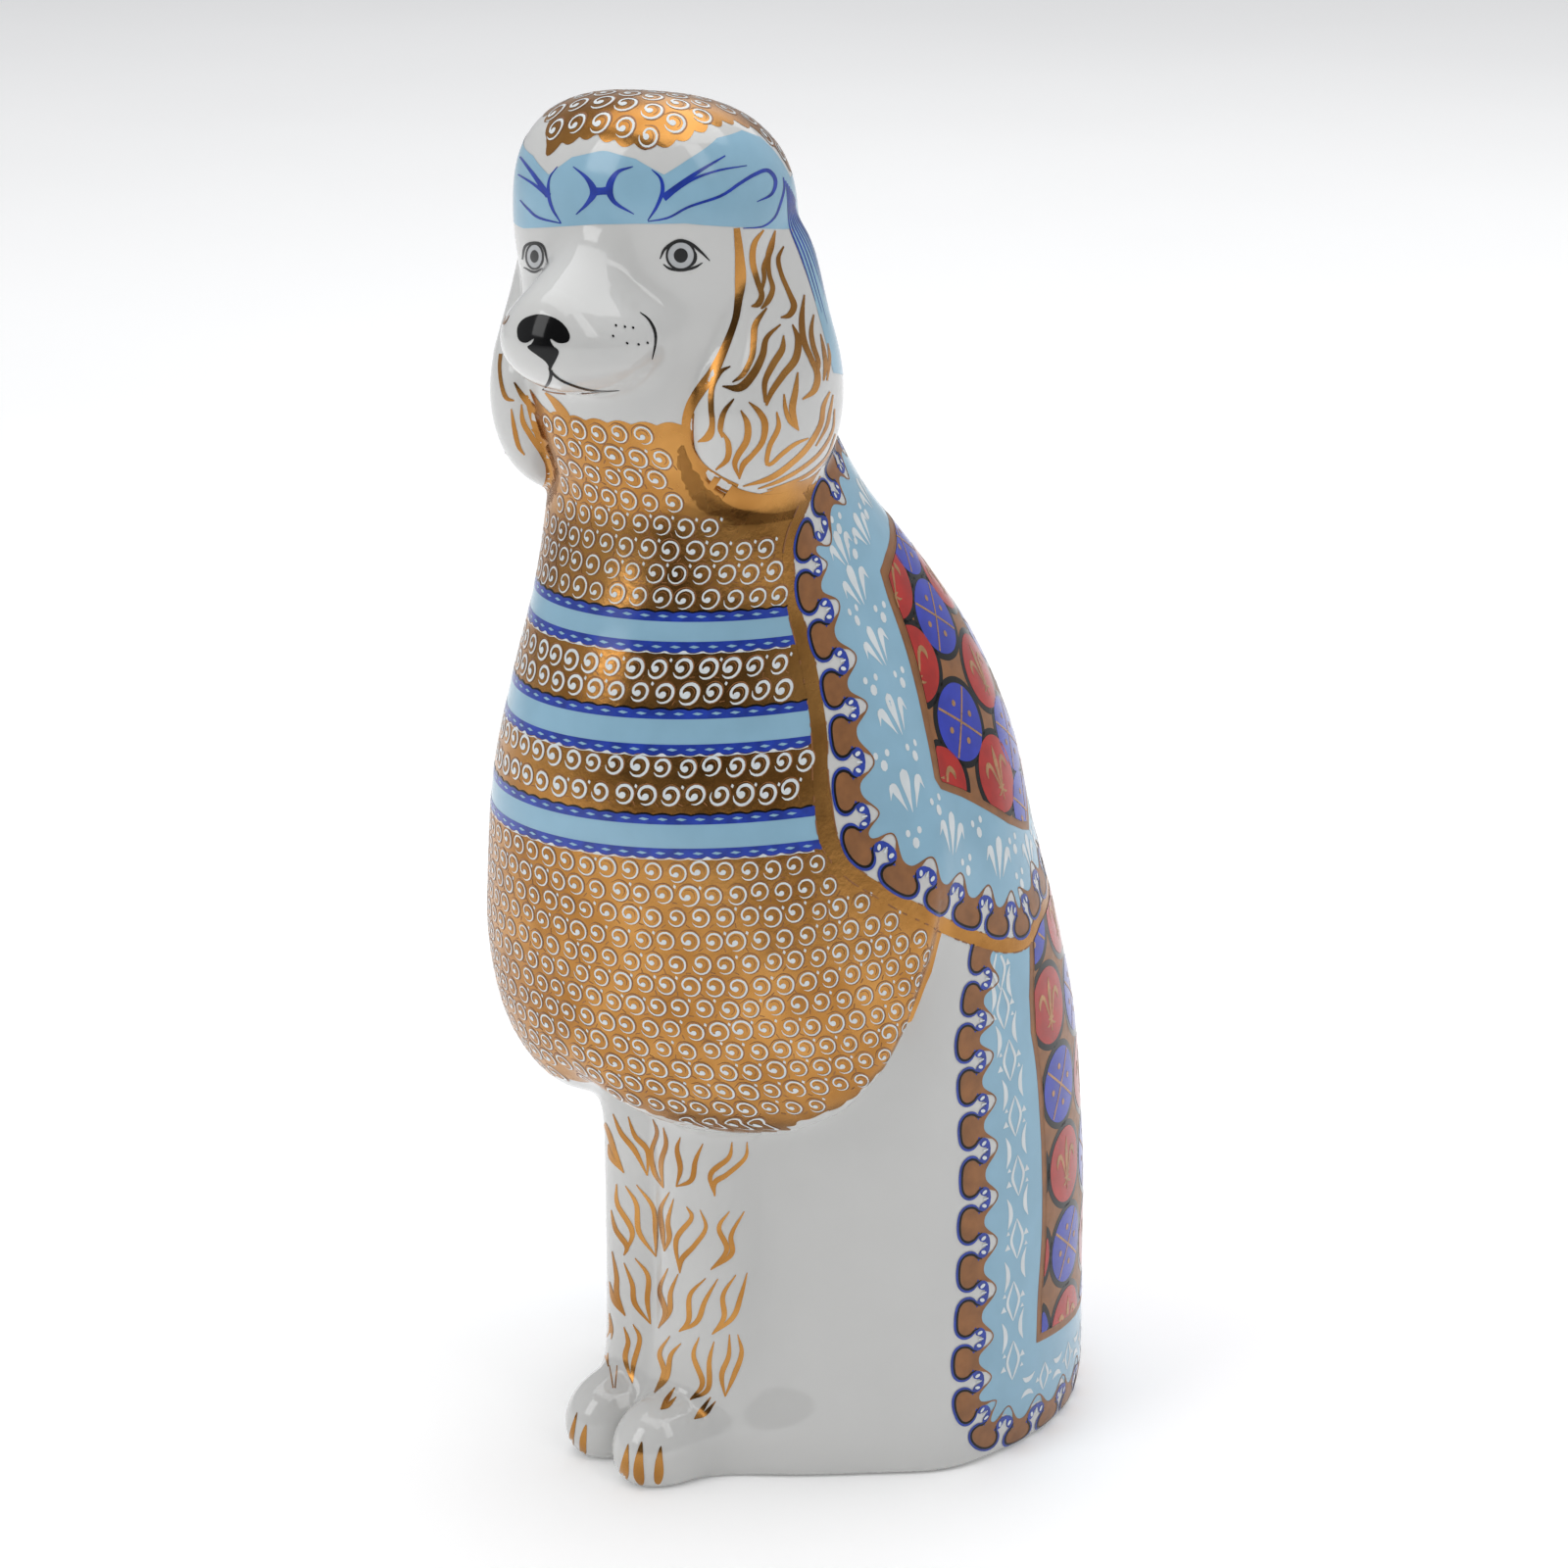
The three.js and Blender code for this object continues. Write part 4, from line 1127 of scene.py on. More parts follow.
# ---- gold strokes of the ears
C0 = lambda pts: zx(pts, 480, 60, 3.136)
EARS = [
    ([(938, 548), (908, 592), (903, 650), (918, 710), (932, 755), (920, 785), (898, 792)], [5, 18, 20, 18, 18, 20, 4]),
    ([(975, 550), (962, 600), (952, 640), (956, 690), (967, 735), (952, 775), (930, 800)], [5, 20, 18, 14, 16, 18, 6]),
    ([(950, 625), (938, 665), (940, 700), (932, 745)], [6, 14, 14, 8]),
    ([(1002, 600), (985, 640), (995, 690), (1020, 750), (1035, 790), (1020, 820), (992, 828)], [5, 14, 14, 16, 20, 18, 4]),
    ([(948, 797), (912, 850), (906, 905), (900, 955), (872, 1010), (838, 1035)], [6, 20, 20, 18, 16, 4]),
    ([(992, 850), (948, 893), (934, 950), (905, 1008), (862, 1052), (806, 1048)], [5, 16, 22, 26, 26, 4]),
    ([(1002, 885), (997, 930), (968, 978), (942, 1035), (944, 1100)], [5, 20, 22, 18, 10]),
    ([(1030, 850), (1048, 900), (1040, 960), (1002, 1010), (964, 1065), (946, 1110)], [5, 20, 24, 22, 18, 8]),
    ([(1068, 755), (1060, 830), (1066, 900), (1090, 960), (1110, 1010), (1100, 1060), (1062, 1090)], [5, 18, 20, 18, 20, 20, 5]),
    ([(1098, 818), (1090, 870), (1097, 920), (1113, 970), (1110, 1012)], [5, 14, 16, 14, 6]),
    ([(1120, 880), (1130, 930), (1136, 980), (1130, 1030)], [4, 12, 14, 5]),
    ([(1143, 910), (1149, 960), (1141, 1030)], [4, 10, 5]),
    ([(1047, 1003), (1040, 1060), (1030, 1120), (1040, 1165), (1050, 1190)], [5, 18, 22, 14, 4]),
    ([(1003, 1073), (1008, 1120), (1022, 1160), (1046, 1186)], [5, 14, 14, 5]),
    ([(890, 1098), (922, 1128), (942, 1168), (934, 1225), (900, 1270), (872, 1300), (860, 1345)], [4, 18, 22, 18, 16, 18, 4]),
    ([(865, 1125), (886, 1168), (884, 1220), (856, 1268), (846, 1300), (862, 1345)], [5, 20, 22, 20, 16, 4]),
    ([(832, 984), (800, 1003), (774, 1050), (770, 1110), (774, 1170), (762, 1208), (728, 1226)], [4, 14, 18, 18, 18, 26, 4]),
    ([(843, 1088), (812, 1130), (800, 1178), (806, 1212)], [5, 16, 18, 6]),
    ([(808, 1195), (825, 1232), (822, 1280), (785, 1316)], [5, 18, 18, 5]),
    ([(980, 1130), (985, 1180), (958, 1238), (948, 1290), (962, 1296), (1000, 1262), (1040, 1232), (1082, 1214)], [5, 16, 16, 14, 12, 14, 12, 4]),
    ([(1150, 1065), (1130, 1110), (1120, 1170), (1082, 1238), (1032, 1290), (962, 1340), (872, 1368)], [5, 14, 16, 18, 18, 18, 4]),
    ([(1165, 1120), (1158, 1190), (1120, 1258), (1060, 1310), (990, 1350), (920, 1376)], [4, 8, 11, 12, 12, 4]),
    ([(1168, 1200), (1140, 1272), (1085, 1326), (1020, 1358), (950, 1380)], [4, 8, 10, 10, 4]),
    ([(1160, 1075), (1150, 1130), (1138, 1180), (1105, 1240)], [4, 10, 10, 4]),
    ([(852, 542), (860, 620), (864, 700), (858, 770), (846, 840), (812, 930), (776, 1005), (736, 1060), (704, 1115), (690, 1180), (702, 1245), (735, 1305), (790, 1350), (850, 1380)],
     [20, 28, 36, 26, 22, 26, 34, 36, 34, 30, 30, 34, 40, 40]),
]
EARS.append(([(770, 1352), (800, 1372), (860, 1408), (950, 1424), (1040, 1408), (1120, 1356), (1178, 1262)], [40, 56, 62, 62, 60, 56, 44]))
for pts, w in EARS:
    px_draw("gold_strokes", stroke(C0(pts), np.array(w)/3.136, 2.0), mirror_head)
def g_seam(P):
    """A gold band along the foot of each ear, where it meets the mane."""
    e, c = ear_form(P[:, 0], P[:, 1], P[:, 2]), core(P[:, 0], P[:, 1], P[:, 2])
    u, v = cape_v(P)
    lo = np.interp(P[:, 2], [162, 170, 177], [3.8, 2.8, -1.0])
    g = np.maximum(np.maximum(-1.0 - (e - c), (e - c) - lo), P[:, 2] - 177)
    g = np.maximum(g, np.where(P[:, 1] > -24, P[:, 2] - 166.5, -9))
    return np.maximum(g, np.interp(u, *V_OUT) - 0.6 - v)


add_field("mane_gold", field(g_seam, pre=(SP[:, 2] > 150) & (SP[:, 2] < 179) & (np.abs(ear_form(SP[:, 0], SP[:, 1], SP[:, 2])) < 5), levels=2))
FAR = [
    ([(150, 598), (132, 645), (124, 700), (122, 760), (140, 820)], [4, 16, 22, 26, 5]),
    ([(95, 798), (78, 850), (84, 930), (80, 985), (86, 1040), (102, 1084), (130, 1094)], [5, 12, 12, 11, 12, 14, 5]),
    ([(122, 790), (100, 838), (92, 850)], [12, 10, 4]),
    ([(130, 1035), (160, 1080), (200, 1120), (240, 1148), (276, 1152)], [5, 18, 22, 20, 8]),
    ([(185, 1058), (214, 1106), (246, 1136), (272, 1146)], [5, 16, 16, 5]),
    ([(238, 1068), (276, 1104), (308, 1152), (320, 1215), (310, 1280), (284, 1340), (262, 1372)], [6, 24, 34, 34, 34, 34, 30]),
    ([(120, 1120), (130, 1180), (145, 1238), (166, 1268)], [4, 14, 14, 4]),
    ([(155, 1105), (160, 1160), (190, 1210), (226, 1260), (252, 1306), (266, 1334)], [4, 16, 18, 18, 18, 4]),
    ([(190, 1185), (230, 1220), (260, 1258), (276, 1310)], [4, 18, 18, 4]),
    ([(250, 1185), (276, 1222), (282, 1268)], [4, 14, 4]),
]
for pts, w in FAR[1:]:
    q = C0(pts)
    q = np.c_[509.5 + (q[:, 0] - 505)*0.925, q[:, 1]]
    px_draw("gold_strokes", stroke(q, np.array(w)/3.136, 2.0))

# ---- gold tufts of the forelegs, and claws
L10 = lambda pts: zx(pts, 540, 1100, 3.5636)
TUFTS = [
    [(262, 138), (290, 200), (312, 270), (345, 345)], [(288, 240), (300, 290), (345, 345)],
    [(305, 130), (335, 200), (385, 265), (430, 355)], [(360, 140), (385, 210), (430, 265), (430, 355)],
    [(450, 150), (465, 200), (445, 270), (455, 340), (488, 400)], [(488, 180), (498, 240), (480, 310), (488, 400)],
    [(550, 215), (538, 260), (550, 330), (535, 395)], [(632, 238), (605, 300), (590, 370), (535, 395)],
    [(738, 232), (725, 290), (660, 350), (675, 430)], [(792, 232), (785, 290), (720, 350), (675, 380), (675, 430)],
    [(318, 385), (322, 460), (375, 560), (345, 645)], [(298, 480), (315, 550), (355, 610), (345, 645)],
    [(350, 392), (390, 460), (400, 560), (462, 650)], [(390, 388), (450, 470), (460, 560), (462, 650)],
    [(510, 415), (478, 480), (485, 560), (492, 630)], [(525, 440), (505, 520), (510, 580), (492, 630)],
    [(572, 468), (590, 510), (535, 590), (548, 710)], [(622, 480), (642, 545), (600, 610), (555, 660), (548, 710)],
    [(728, 485), (690, 545), (718, 625), (660, 697)], [(782, 485), (735, 570), (735, 640), (660, 697)],
    [(302, 630), (318, 720), (320, 790), (350, 865)], [(292, 740), (310, 810), (350, 865)],
    [(345, 672), (375, 750), (385, 820), (442, 895)], [(385, 655), (432, 720), (430, 810), (442, 895)],
    [(505, 692), (475, 770), (495, 850), (470, 910)], [(542, 712), (515, 780), (510, 850), (470, 910)],
    [(642, 728), (585, 790), (580, 880), (545, 922)], [(686, 730), (640, 810), (610, 885), (545, 922)],
    [(752, 715), (705, 790), (708, 870), (665, 932)], [(792, 708), (770, 790), (740, 870), (665, 932)],
    [(292, 855), (298, 920), (280, 980), (288, 1050)],
    [(345, 905), (360, 960), (350, 1020), (375, 1110)], [(378, 895), (402, 950), (380, 1040), (375, 1110)],
    [(512, 938), (475, 1000), (490, 1070), (455, 1145)], [(552, 965), (515, 1010), (500, 1090), (455, 1145)],
    [(618, 942), (598, 1010), (630, 1110), (585, 1170)], [(672, 958), (655, 1030), (650, 1130), (585, 1170)],
    [(728, 932), (725, 1010), (700, 1080), (712, 1158)], [(758, 932), (772, 1000), (745, 1080), (712, 1158)],
    [(320, 1045), (312, 1128)], [(292, 1045), (305, 1128)],
    [(530, 1125), (500, 1170), (478, 1205)], [(535, 1160), (505, 1190), (478, 1205)],
    [(660, 1160), (625, 1210), (600, 1240)], [(678, 1175), (640, 1220), (600, 1240)]]
for t in TUFTS:
    n = len(t)
    w = np.interp(np.arange(n)/(n - 1), [0, 0.3, 0.75, 1], [1.0, 4.6, 5.4, 1.2])
    px_draw("gold_strokes", stroke(L10(t), w, 2.0), mirror_body)
CLAWS = [[(360, 1330), (335, 1400), (330, 1450), (350, 1472), (362, 1440), (362, 1380)],
         [(410, 1322), (385, 1385), (380, 1445), (400, 1478), (418, 1470), (415, 1400)],
         [(478, 1338), (458, 1400), (455, 1465), (475, 1475), (488, 1440), (485, 1380)],
         [(175, 1215), (148, 1290), (150, 1345), (165, 1375), (163, 1310)],
         [(208, 1260), (185, 1310), (188, 1370), (205, 1392), (208, 1330)]]
for t in CLAWS:
    px_draw("gold_strokes", poly(spline(L10(t), step=1.6, closed=True), 2.4), mirror_body)
flush_px()


# ---- roundels of the two panels
def frame_at(c):
    P, N = snap(core, on_b([c]), 2)
    P, N = P[0], N[0]
    up = np.array([0, 0, 1.0]) - N*N[2]
    up /= np.linalg.norm(up)
    return P, np.cross(up, N), up


def roundel(c, kind, which, r=6.4, sides=(1, -1)):
    P0, e1, e2 = frame_at(c)
    for sx in (sides if c[0] > 2 else (1,)):
        m = np.array([sx, 1, 1.0])
        C = P0*m
        A, B = e1*m*sx, e2*m
        pre = PM[which] & (np.linalg.norm(SP - C, axis=1) < r + 2.5)
        if pre.sum() < 6:
            continue
        add_field("roundels_blue" if kind == "b" else "roundels_red",
                  field(lambda P: np.maximum(np.linalg.norm(P - C, axis=1) - r, g_panel(P, which, 1.45)), pre=pre, levels=2))

        add_field("roundel_rims", field(lambda P: np.maximum(np.linalg.norm(P - C, axis=1) - r - 1.1, g_panel(P, which, 1.4)), pre=pre, levels=1))
        edge = g_panel(C[None], which, 1.45)[0] > -r

        def put(shape, name="roundel_lines"):
            V, T = shape
            Q = C + V[:, :1]*A + V[:, 1:]*B
            if edge:
                g = g_panel(Q, which, 1.3)
                T = T[(g[T] < 0).all(1)]
            lay(name, Q, T)
        if kind == "b":
            t = 0.18
            for a in (math.pi/4 + t, 3*math.pi/4 + t):
                d = np.array([math.cos(a), math.sin(a)])*(r - 0.15)
                put(stroke([-d, d*0, d], 0.42, 0.5))
            for k in range(4):
                a = k*math.pi/2 + t
                put(disc((math.cos(a)*r*0.52, math.sin(a)*r*0.52), 0.55, n=10, rings=1))
        else:
            put(stroke([(0.0, -4.4), (0.05, -1.9), (0.1, 0.0), (0.2, 2.4), (0.35, 4.7)], [0.25, 0.5, 0.95, 1.25, 0.1], 0.5))
            for q in (1, -1):
                put(stroke([(q*0.35, -2.2), (q*1.0, -0.6), (q*1.9, 1.5), (q*2.9, 2.1), (q*3.7, 1.2), (q*3.8, 0.1)], [0.3, 0.5, 0.75, 0.95, 0.8, 0.1], 0.5))
                put(stroke([(q*0.2, -2.6), (q*0.9, -3.2), (q*1.7, -3.3)], [0.3, 0.45, 0.1], 0.5))
            put(stroke([(-1.1, -2.1), (0.0, -2.3), (1.1, -2.1)], [0.2, 0.55, 0.2], 0.5))


UPR = [((20.8, 159.5), "r"), ((8.0, 164.4), "b"), ((34.2, 144.4), "r"), ((19.3, 148.6), "b"), ((6.7, 154.0), "r"),
       ((45.6, 131.6), "r"), ((30.2, 136.7), "b"), ((15.9, 140.6), "r"), ((0, 144.5), "b"),
       ((44.6, 120.9), "b"), ((28.3, 125.8), "r"), ((14.4, 129.7), "b"), ((0, 133.6), "r"),
       ((57.8, 113.0), "r"), ((41.6, 110.9), "r"), ((29.6, 114.6), "b"), ((15.4, 118.6), "r"), ((0, 122.4), "b"),
       ((34.5, 102.6), "b"), ((21.4, 106.5), "r"), ((7.6, 111.2), "b"), ((28.0, 93.4), "r"), ((14.4, 96.6), "b"), ((0, 100.0), "r")]
for c, k in UPR:
    roundel(c, k, 0)
for col in range(-1, 4):
    b = 48.6 - col*13.886
    for k in range(-1, 8):
        z = 14.1 + k*14.35 - (2.4*col if col > 0 else 1.2*col)
        if z < 8 or z > 110:
            continue
        kind = (k + col) % 2
        roundel((b, z), "rb"[kind], 1, sides=(1,))
        roundel((b, z), "rb"[1 - kind], 1, sides=(-1,))


# ---- white motifs of the cape's field
def local(c, fans, name="field_white"):
    """Draws shapes given in millimetres round a point of the cape or train."""
    P0, e1, e2 = frame_at(c)
    for V, T in fans:
        Q = P0 + V[:, :1]*e1 + V[:, 1:]*e2
        if c[1] < 88:       # what the cape doesn't cover
            u, v = CAPE.of(Q)
            T = T[(v > np.interp(u, *V_OUT) + 0.2)[T].all(1)]
        lay(name, Q, T)
        lay(name, mirror_body(Q), T)


def petal(base, tip, w):
    b, t = np.array(base, float), np.array(tip, float)
    return stroke([b, b + (t - b)*0.35, b + (t - b)*0.72, b + (t - b)*0.93, t], [0.05, w*0.45, w, w*0.8, 0.08], 0.6)


def fan(rot=0.0, k=1.0):
    cs, sn = math.cos(rot), math.sin(rot)
    out = []
    for base, tip, w in (((0, -2.9), (0, 2.9), 1.5), ((-0.75, -2.5), (-2.3, 1.6), 1.05), ((0.75, -2.5), (2.3, 1.6), 1.05)):
        V, T = petal(np.array(base)*k, np.array(tip)*k, w*k)
        out.append((np.c_[V[:, 0]*cs - V[:, 1]*sn, V[:, 0]*sn + V[:, 1]*cs], T))
    for sx in (-1, 1):      # the barbs
        V, T = petal(np.array((sx*3.05, -0.5))*k, np.array((sx*2.35, 1.5))*k, 0.7*k)
        out.append((np.c_[V[:, 0]*cs - V[:, 1]*sn, V[:, 0]*sn + V[:, 1]*cs], T))
    return out


def dots(rot=0.0, k=1.0):
    cs, sn = math.cos(rot), math.sin(rot)
    out = []
    for x, y, a, b in ((0, -0.85, 0.62, 0.82), (1.05, 0.75, 0.42, 0.55), (-1.05, 0.8, 0.42, 0.55)):
        V, T = disc((x*k, y*k), a*k, b*k, n=8, rings=1)
        out.append((np.c_[V[:, 0]*cs - V[:, 1]*sn, V[:, 0]*sn + V[:, 1]*cs], T))
    return out


FANS = [((29.5, 153.2), 0.35), ((38.0, 151.6), 0.3), ((42.3, 145.6), 0.25), ((50.2, 136.2), 0.2), ((58.9, 126.0), 0.15), ((66.6, 114.4), 0.1), ((61.0, 105.8), -0.35),
        ((50.6, 98.8), -0.3), ((39.3, 103.0), -0.2), ((19.0, 157.2), 0.3), ((8.0, 159.8), 0.2), ((27.8, 99.6), -0.15), ((14.5, 104.2), -0.1), ((4.8, 106.0), 0.0)]
FANS[8] = ((39.4, 96.6), -0.15)
for c, rot in FANS:
    local(c, fan(rot, 1.05 if c[1] > 150 or c[0] < 40 and c[1] < 110 else 1.22))
DOTS = [(48.6, 141.6), (42.2, 140.6), (58.4, 131.2), (50.9, 130.6), (67.4, 119.8), (60.4, 120.0), (69.6, 107.2), (53.4, 104.9), (59.6, 100.0), (44.6, 99.6),
        (46.3, 93.9), (62.0, 111.0), (34.0, 155.4), (24.0, 155.6), (13.5, 158.4), (35.5, 151.0), (33.4, 97.8), (21.0, 101.8), (9.6, 105.0)]
for c in DOTS:
    local(c, dots(0.1, 1.12))


# ---- white motifs of the train's field
def lens(h, w, t=0.5):
    a = [(0, h), (w*0.45, h*0.62), (w, 0), (w*0.45, -h*0.62), (0, -h)]
    return [stroke(a, [0.1, t*0.9, t*1.25, t*0.9, 0.1], 0.6), stroke([(-x, y) for x, y in a], [0.1, t*0.9, t*1.25, t*0.9, 0.1], 0.6)]


def crescent(x, y, sx, h=2.6):
    return stroke([(x, y + h), (x + sx*0.75, y + h*0.35), (x + sx*0.8, y - h*0.35), (x + sx*0.1, y - h)], [0.08, 0.85, 0.95, 0.08], 0.6)


def tri(x, y, s=0.75):
    return poly([(x, y + s*0.9), (x + s*0.9, y - s*0.55), (x - s*0.9, y - s*0.55)], 1.2)


ROW = [(60.2, 81.6), (61.9, 75.0), (63.2, 66.0), (63.6, 56.2), (64.1, 45.8), (65.3, 35.0), (66.0, 24.2), (66.2, 13.6)]
for c in ROW:
    local(c, lens(3.5, 1.45) + [tri(-2.35, -1.0), tri(2.35, 0.6), tri(-2.2, 1.4, 0.5), tri(2.3, -1.4, 0.5)])
for (b0, z0), (b1, z1) in zip(ROW[:-1], ROW[1:]):
    c = ((b0 + b1)/2, (z0 + z1)/2)
    local(c, [crescent(-2.7, -0.6, 1, 2.7), crescent(2.7, 0.6, -1, 2.7)])
for b in (57.0, 47.5, 38.0, 28.5, 19.0, 9.5, 0.0):
    z = 7.6
    sh = [(np.c_[V[:, 0], V[:, 1]], T) for V, T in lens(2.5, 1.25)]
    sh += [tri(-2.1, 0.0, 0.6), tri(2.1, 0.0, 0.6)]
    if b > 1:
        local((b, z), sh)
    else:
        P0, e1, e2 = frame_at((b, z))
        for V, T in sh:
            lay("field_white", snap(core, P0 + V[:, :1]*e1 + V[:, 1:]*e2, 2)[0], T)
for b in (61.8, 52.2, 42.7, 33.2, 23.7, 14.2, 4.8):
    rotq = lambda sh: (np.c_[sh[0][:, 1], sh[0][:, 0]], sh[1])
    local((b, 7.6), [rotq(crescent(-2.0, 0.0, 1, 1.7)), rotq(crescent(2.0, 0.0, -1, 1.7))])


# ---- details of the chest stripes, and a painted shadow along their upper edges
def s_lim(z):
    return float(np.interp(z, [109.4, 115.3, 124.6, 130.6, 139.7, 146.4], [46.6, 45.6, 43.9, 42.3, 38.0, 34.9])) - 0.3


for lo, hi in STRIPES:
    for zc, sgn in ((lo + 0.62, -1), (hi - 0.62, 1)):
        L = s_lim(zc)
        k = np.arange(-int(L/2.9), int(L/2.9) + 1)
        for i in k:
            c = ((i + 0.5)*2.9, zc + 0.05*sgn)
            if abs(c[0]) > L - 0.8:
                continue
            q = [(-0.85, 0), (-0.2, 0.24), (0.85, 0.02), (0.1, -0.22)]
            draw("stripe_details", place(poly(q, 1.0), c), on_s)
        x = np.arange(-L, L, 0.35)
        edge = (lo - 0.28*np.abs(np.sin(x*np.pi/2.9))) if sgn < 0 else (hi + 0.28*np.abs(np.sin(x*np.pi/2.9)))
        # on the upper edge a thin black ribbon: painted shadow along the scalloped edge of the lace
        if sgn > 0:
            w = 0.20 + 0.10*np.sin(x*np.pi/2.9)**2
            draw("stripe_painted_shadow", ribbon(np.c_[x, edge + 0.02], w), on_s)
        else:
            w = 0.10 + 0.42*np.clip(np.cos(2*x*np.pi/2.9), 0, 1)*(0.6 + 0.4*np.sin(x*0.7))
            draw("stripe_slivers", ribbon(np.c_[x, edge - 0.16], w), on_s)


# ---------------------------------------------------------------- materials
def lin(r, g, b):
    """sRGB 0..255 to linear."""
    return tuple(((c/255 + 0.055)/1.055)**2.4 if c/255 > 0.04045 else c/255/12.92 for c in (r, g, b)) + (1.0,)


def mat(name, rgb, rough, metal=0.0, coat=0.0, spec=0.5, mottle=0.04, scale=160.0, bump=0.0, bump_scale=900.0,
        rough_vary=0.0, dark=None, ior=1.5):
    """A glaze or enamel: base colour with a little mottling, and a faint unevenness of the surface."""
    m = bpy.data.materials.new(name)
    m.use_nodes = True
    nt = m.node_tree
    b = nt.nodes["Principled BSDF"]
    b.inputs["Base Color"].default_value = lin(*rgb)
    b.inputs["Metallic"].default_value = metal
    b.inputs["Roughness"].default_value = rough
    b.inputs["Specular IOR Level"].default_value = spec
    b.inputs["IOR"].default_value = ior
    b.inputs["Coat Weight"].default_value = coat
    b.inputs["Coat Roughness"].default_value = 0.05
    tc = nt.nodes.new("ShaderNodeTexCoord")
    if mottle > 0:
        n = nt.nodes.new("ShaderNodeTexNoise")
        n.inputs["Scale"].default_value = scale
        n.inputs["Detail"].default_value = 4.0
        r = nt.nodes.new("ShaderNodeValToRGB")
        c0 = lin(*(dark or [c*(1 - mottle) for c in rgb]))
        c1 = lin(*[min(255, c*(1 + mottle)) for c in rgb])
        r.color_ramp.elements[0].position = 0.34
        r.color_ramp.elements[0].color = c0
        r.color_ramp.elements[1].position = 0.66
        r.color_ramp.elements[1].color = c1
        nt.links.new(tc.outputs["Object"], n.inputs["Vector"])
        nt.links.new(n.outputs["Fac"], r.inputs["Fac"])
        nt.links.new(r.outputs["Color"], b.inputs["Base Color"])
    if rough_vary > 0:
        n2 = nt.nodes.new("ShaderNodeTexNoise")
        n2.inputs["Scale"].default_value = scale*2.3
        n2.inputs["Detail"].default_value = 3.0
        mr = nt.nodes.new("ShaderNodeMapRange")
        mr.inputs["From Min"].default_value = 0.3
        mr.inputs["From Max"].default_value = 0.7
        mr.inputs["To Min"].default_value = max(0.02, rough - rough_vary)
        mr.inputs["To Max"].default_value = rough + rough_vary
        nt.links.new(tc.outputs["Object"], n2.inputs["Vector"])
        nt.links.new(n2.outputs["Fac"], mr.inputs["Value"])
        nt.links.new(mr.outputs["Result"], b.inputs["Roughness"])
    if bump > 0:
        n3 = nt.nodes.new("ShaderNodeTexNoise")
        n3.inputs["Scale"].default_value = bump_scale
        n3.inputs["Detail"].default_value = 3.0
        bp = nt.nodes.new("ShaderNodeBump")
        bp.inputs["Strength"].default_value = bump
        bp.inputs["Distance"].default_value = 0.0002
        nt.links.new(tc.outputs["Object"], n3.inputs["Vector"])
        nt.links.new(n3.outputs["Fac"], bp.inputs["Height"])
        nt.links.new(bp.outputs["Normal"], b.inputs["Normal"])
    return m


M_CHINA = mat("china_glaze", (206, 206, 204), 0.06, coat=0.2, mottle=0.010, scale=40, bump=0.05, bump_scale=55, rough_vary=0.015)
M_BARE = mat("bare_china", (214, 208, 198), 0.62, mottle=0.05, scale=420, bump=0.5, bump_scale=1800, rough_vary=0.08)
M_GOLD = mat("burnished_gold", (184, 134, 74), 0.25, metal=1.0, mottle=0.05, scale=90, bump=0.22, bump_scale=700, rough_vary=0.05, dark=(162, 112, 56))
M_GOLDP = mat("pale_gold", (176, 132, 88), 0.30, metal=0.35, mottle=0.08, scale=420, bump=0.15, bump_scale=1500, rough_vary=0.05)
M_LIGHT = mat("light_blue_enamel", (142, 182, 204), 0.14, mottle=0.02, scale=120, bump=0.08, bump_scale=260, rough_vary=0.03)
M_COB = mat("cobalt_enamel", (38, 62, 158), 0.20, mottle=0.10, scale=500, bump=0.08, bump_scale=500, rough_vary=0.03)
M_DEEP = mat("deep_blue_enamel", (44, 58, 172), 0.14, mottle=0.06, scale=260, bump=0.08, bump_scale=300, rough_vary=0.03)
M_RED = mat("red_enamel", (172, 34, 26), 0.14, mottle=0.07, scale=260, bump=0.08, bump_scale=300, rough_vary=0.03)
M_BROWN = mat("brown_enamel", (142, 94, 54), 0.34, metal=0.15, mottle=0.07, scale=380, bump=0.10, bump_scale=600, rough_vary=0.05)
M_BLACK = mat("black_enamel", (17, 17, 18), 0.10, mottle=0.12, scale=300, bump=0.06, bump_scale=400, rough_vary=0.03, spec=0.3)
M_WHITE = mat("white_enamel", (218, 224, 226), 0.16, mottle=0.02, scale=300, bump=0.08, bump_scale=400, rough_vary=0.03)
M_IRIS = mat("grey_enamel", (176, 178, 180), 0.14, mottle=0.04, scale=300, bump=0.05, bump_scale=400, rough_vary=0.02)

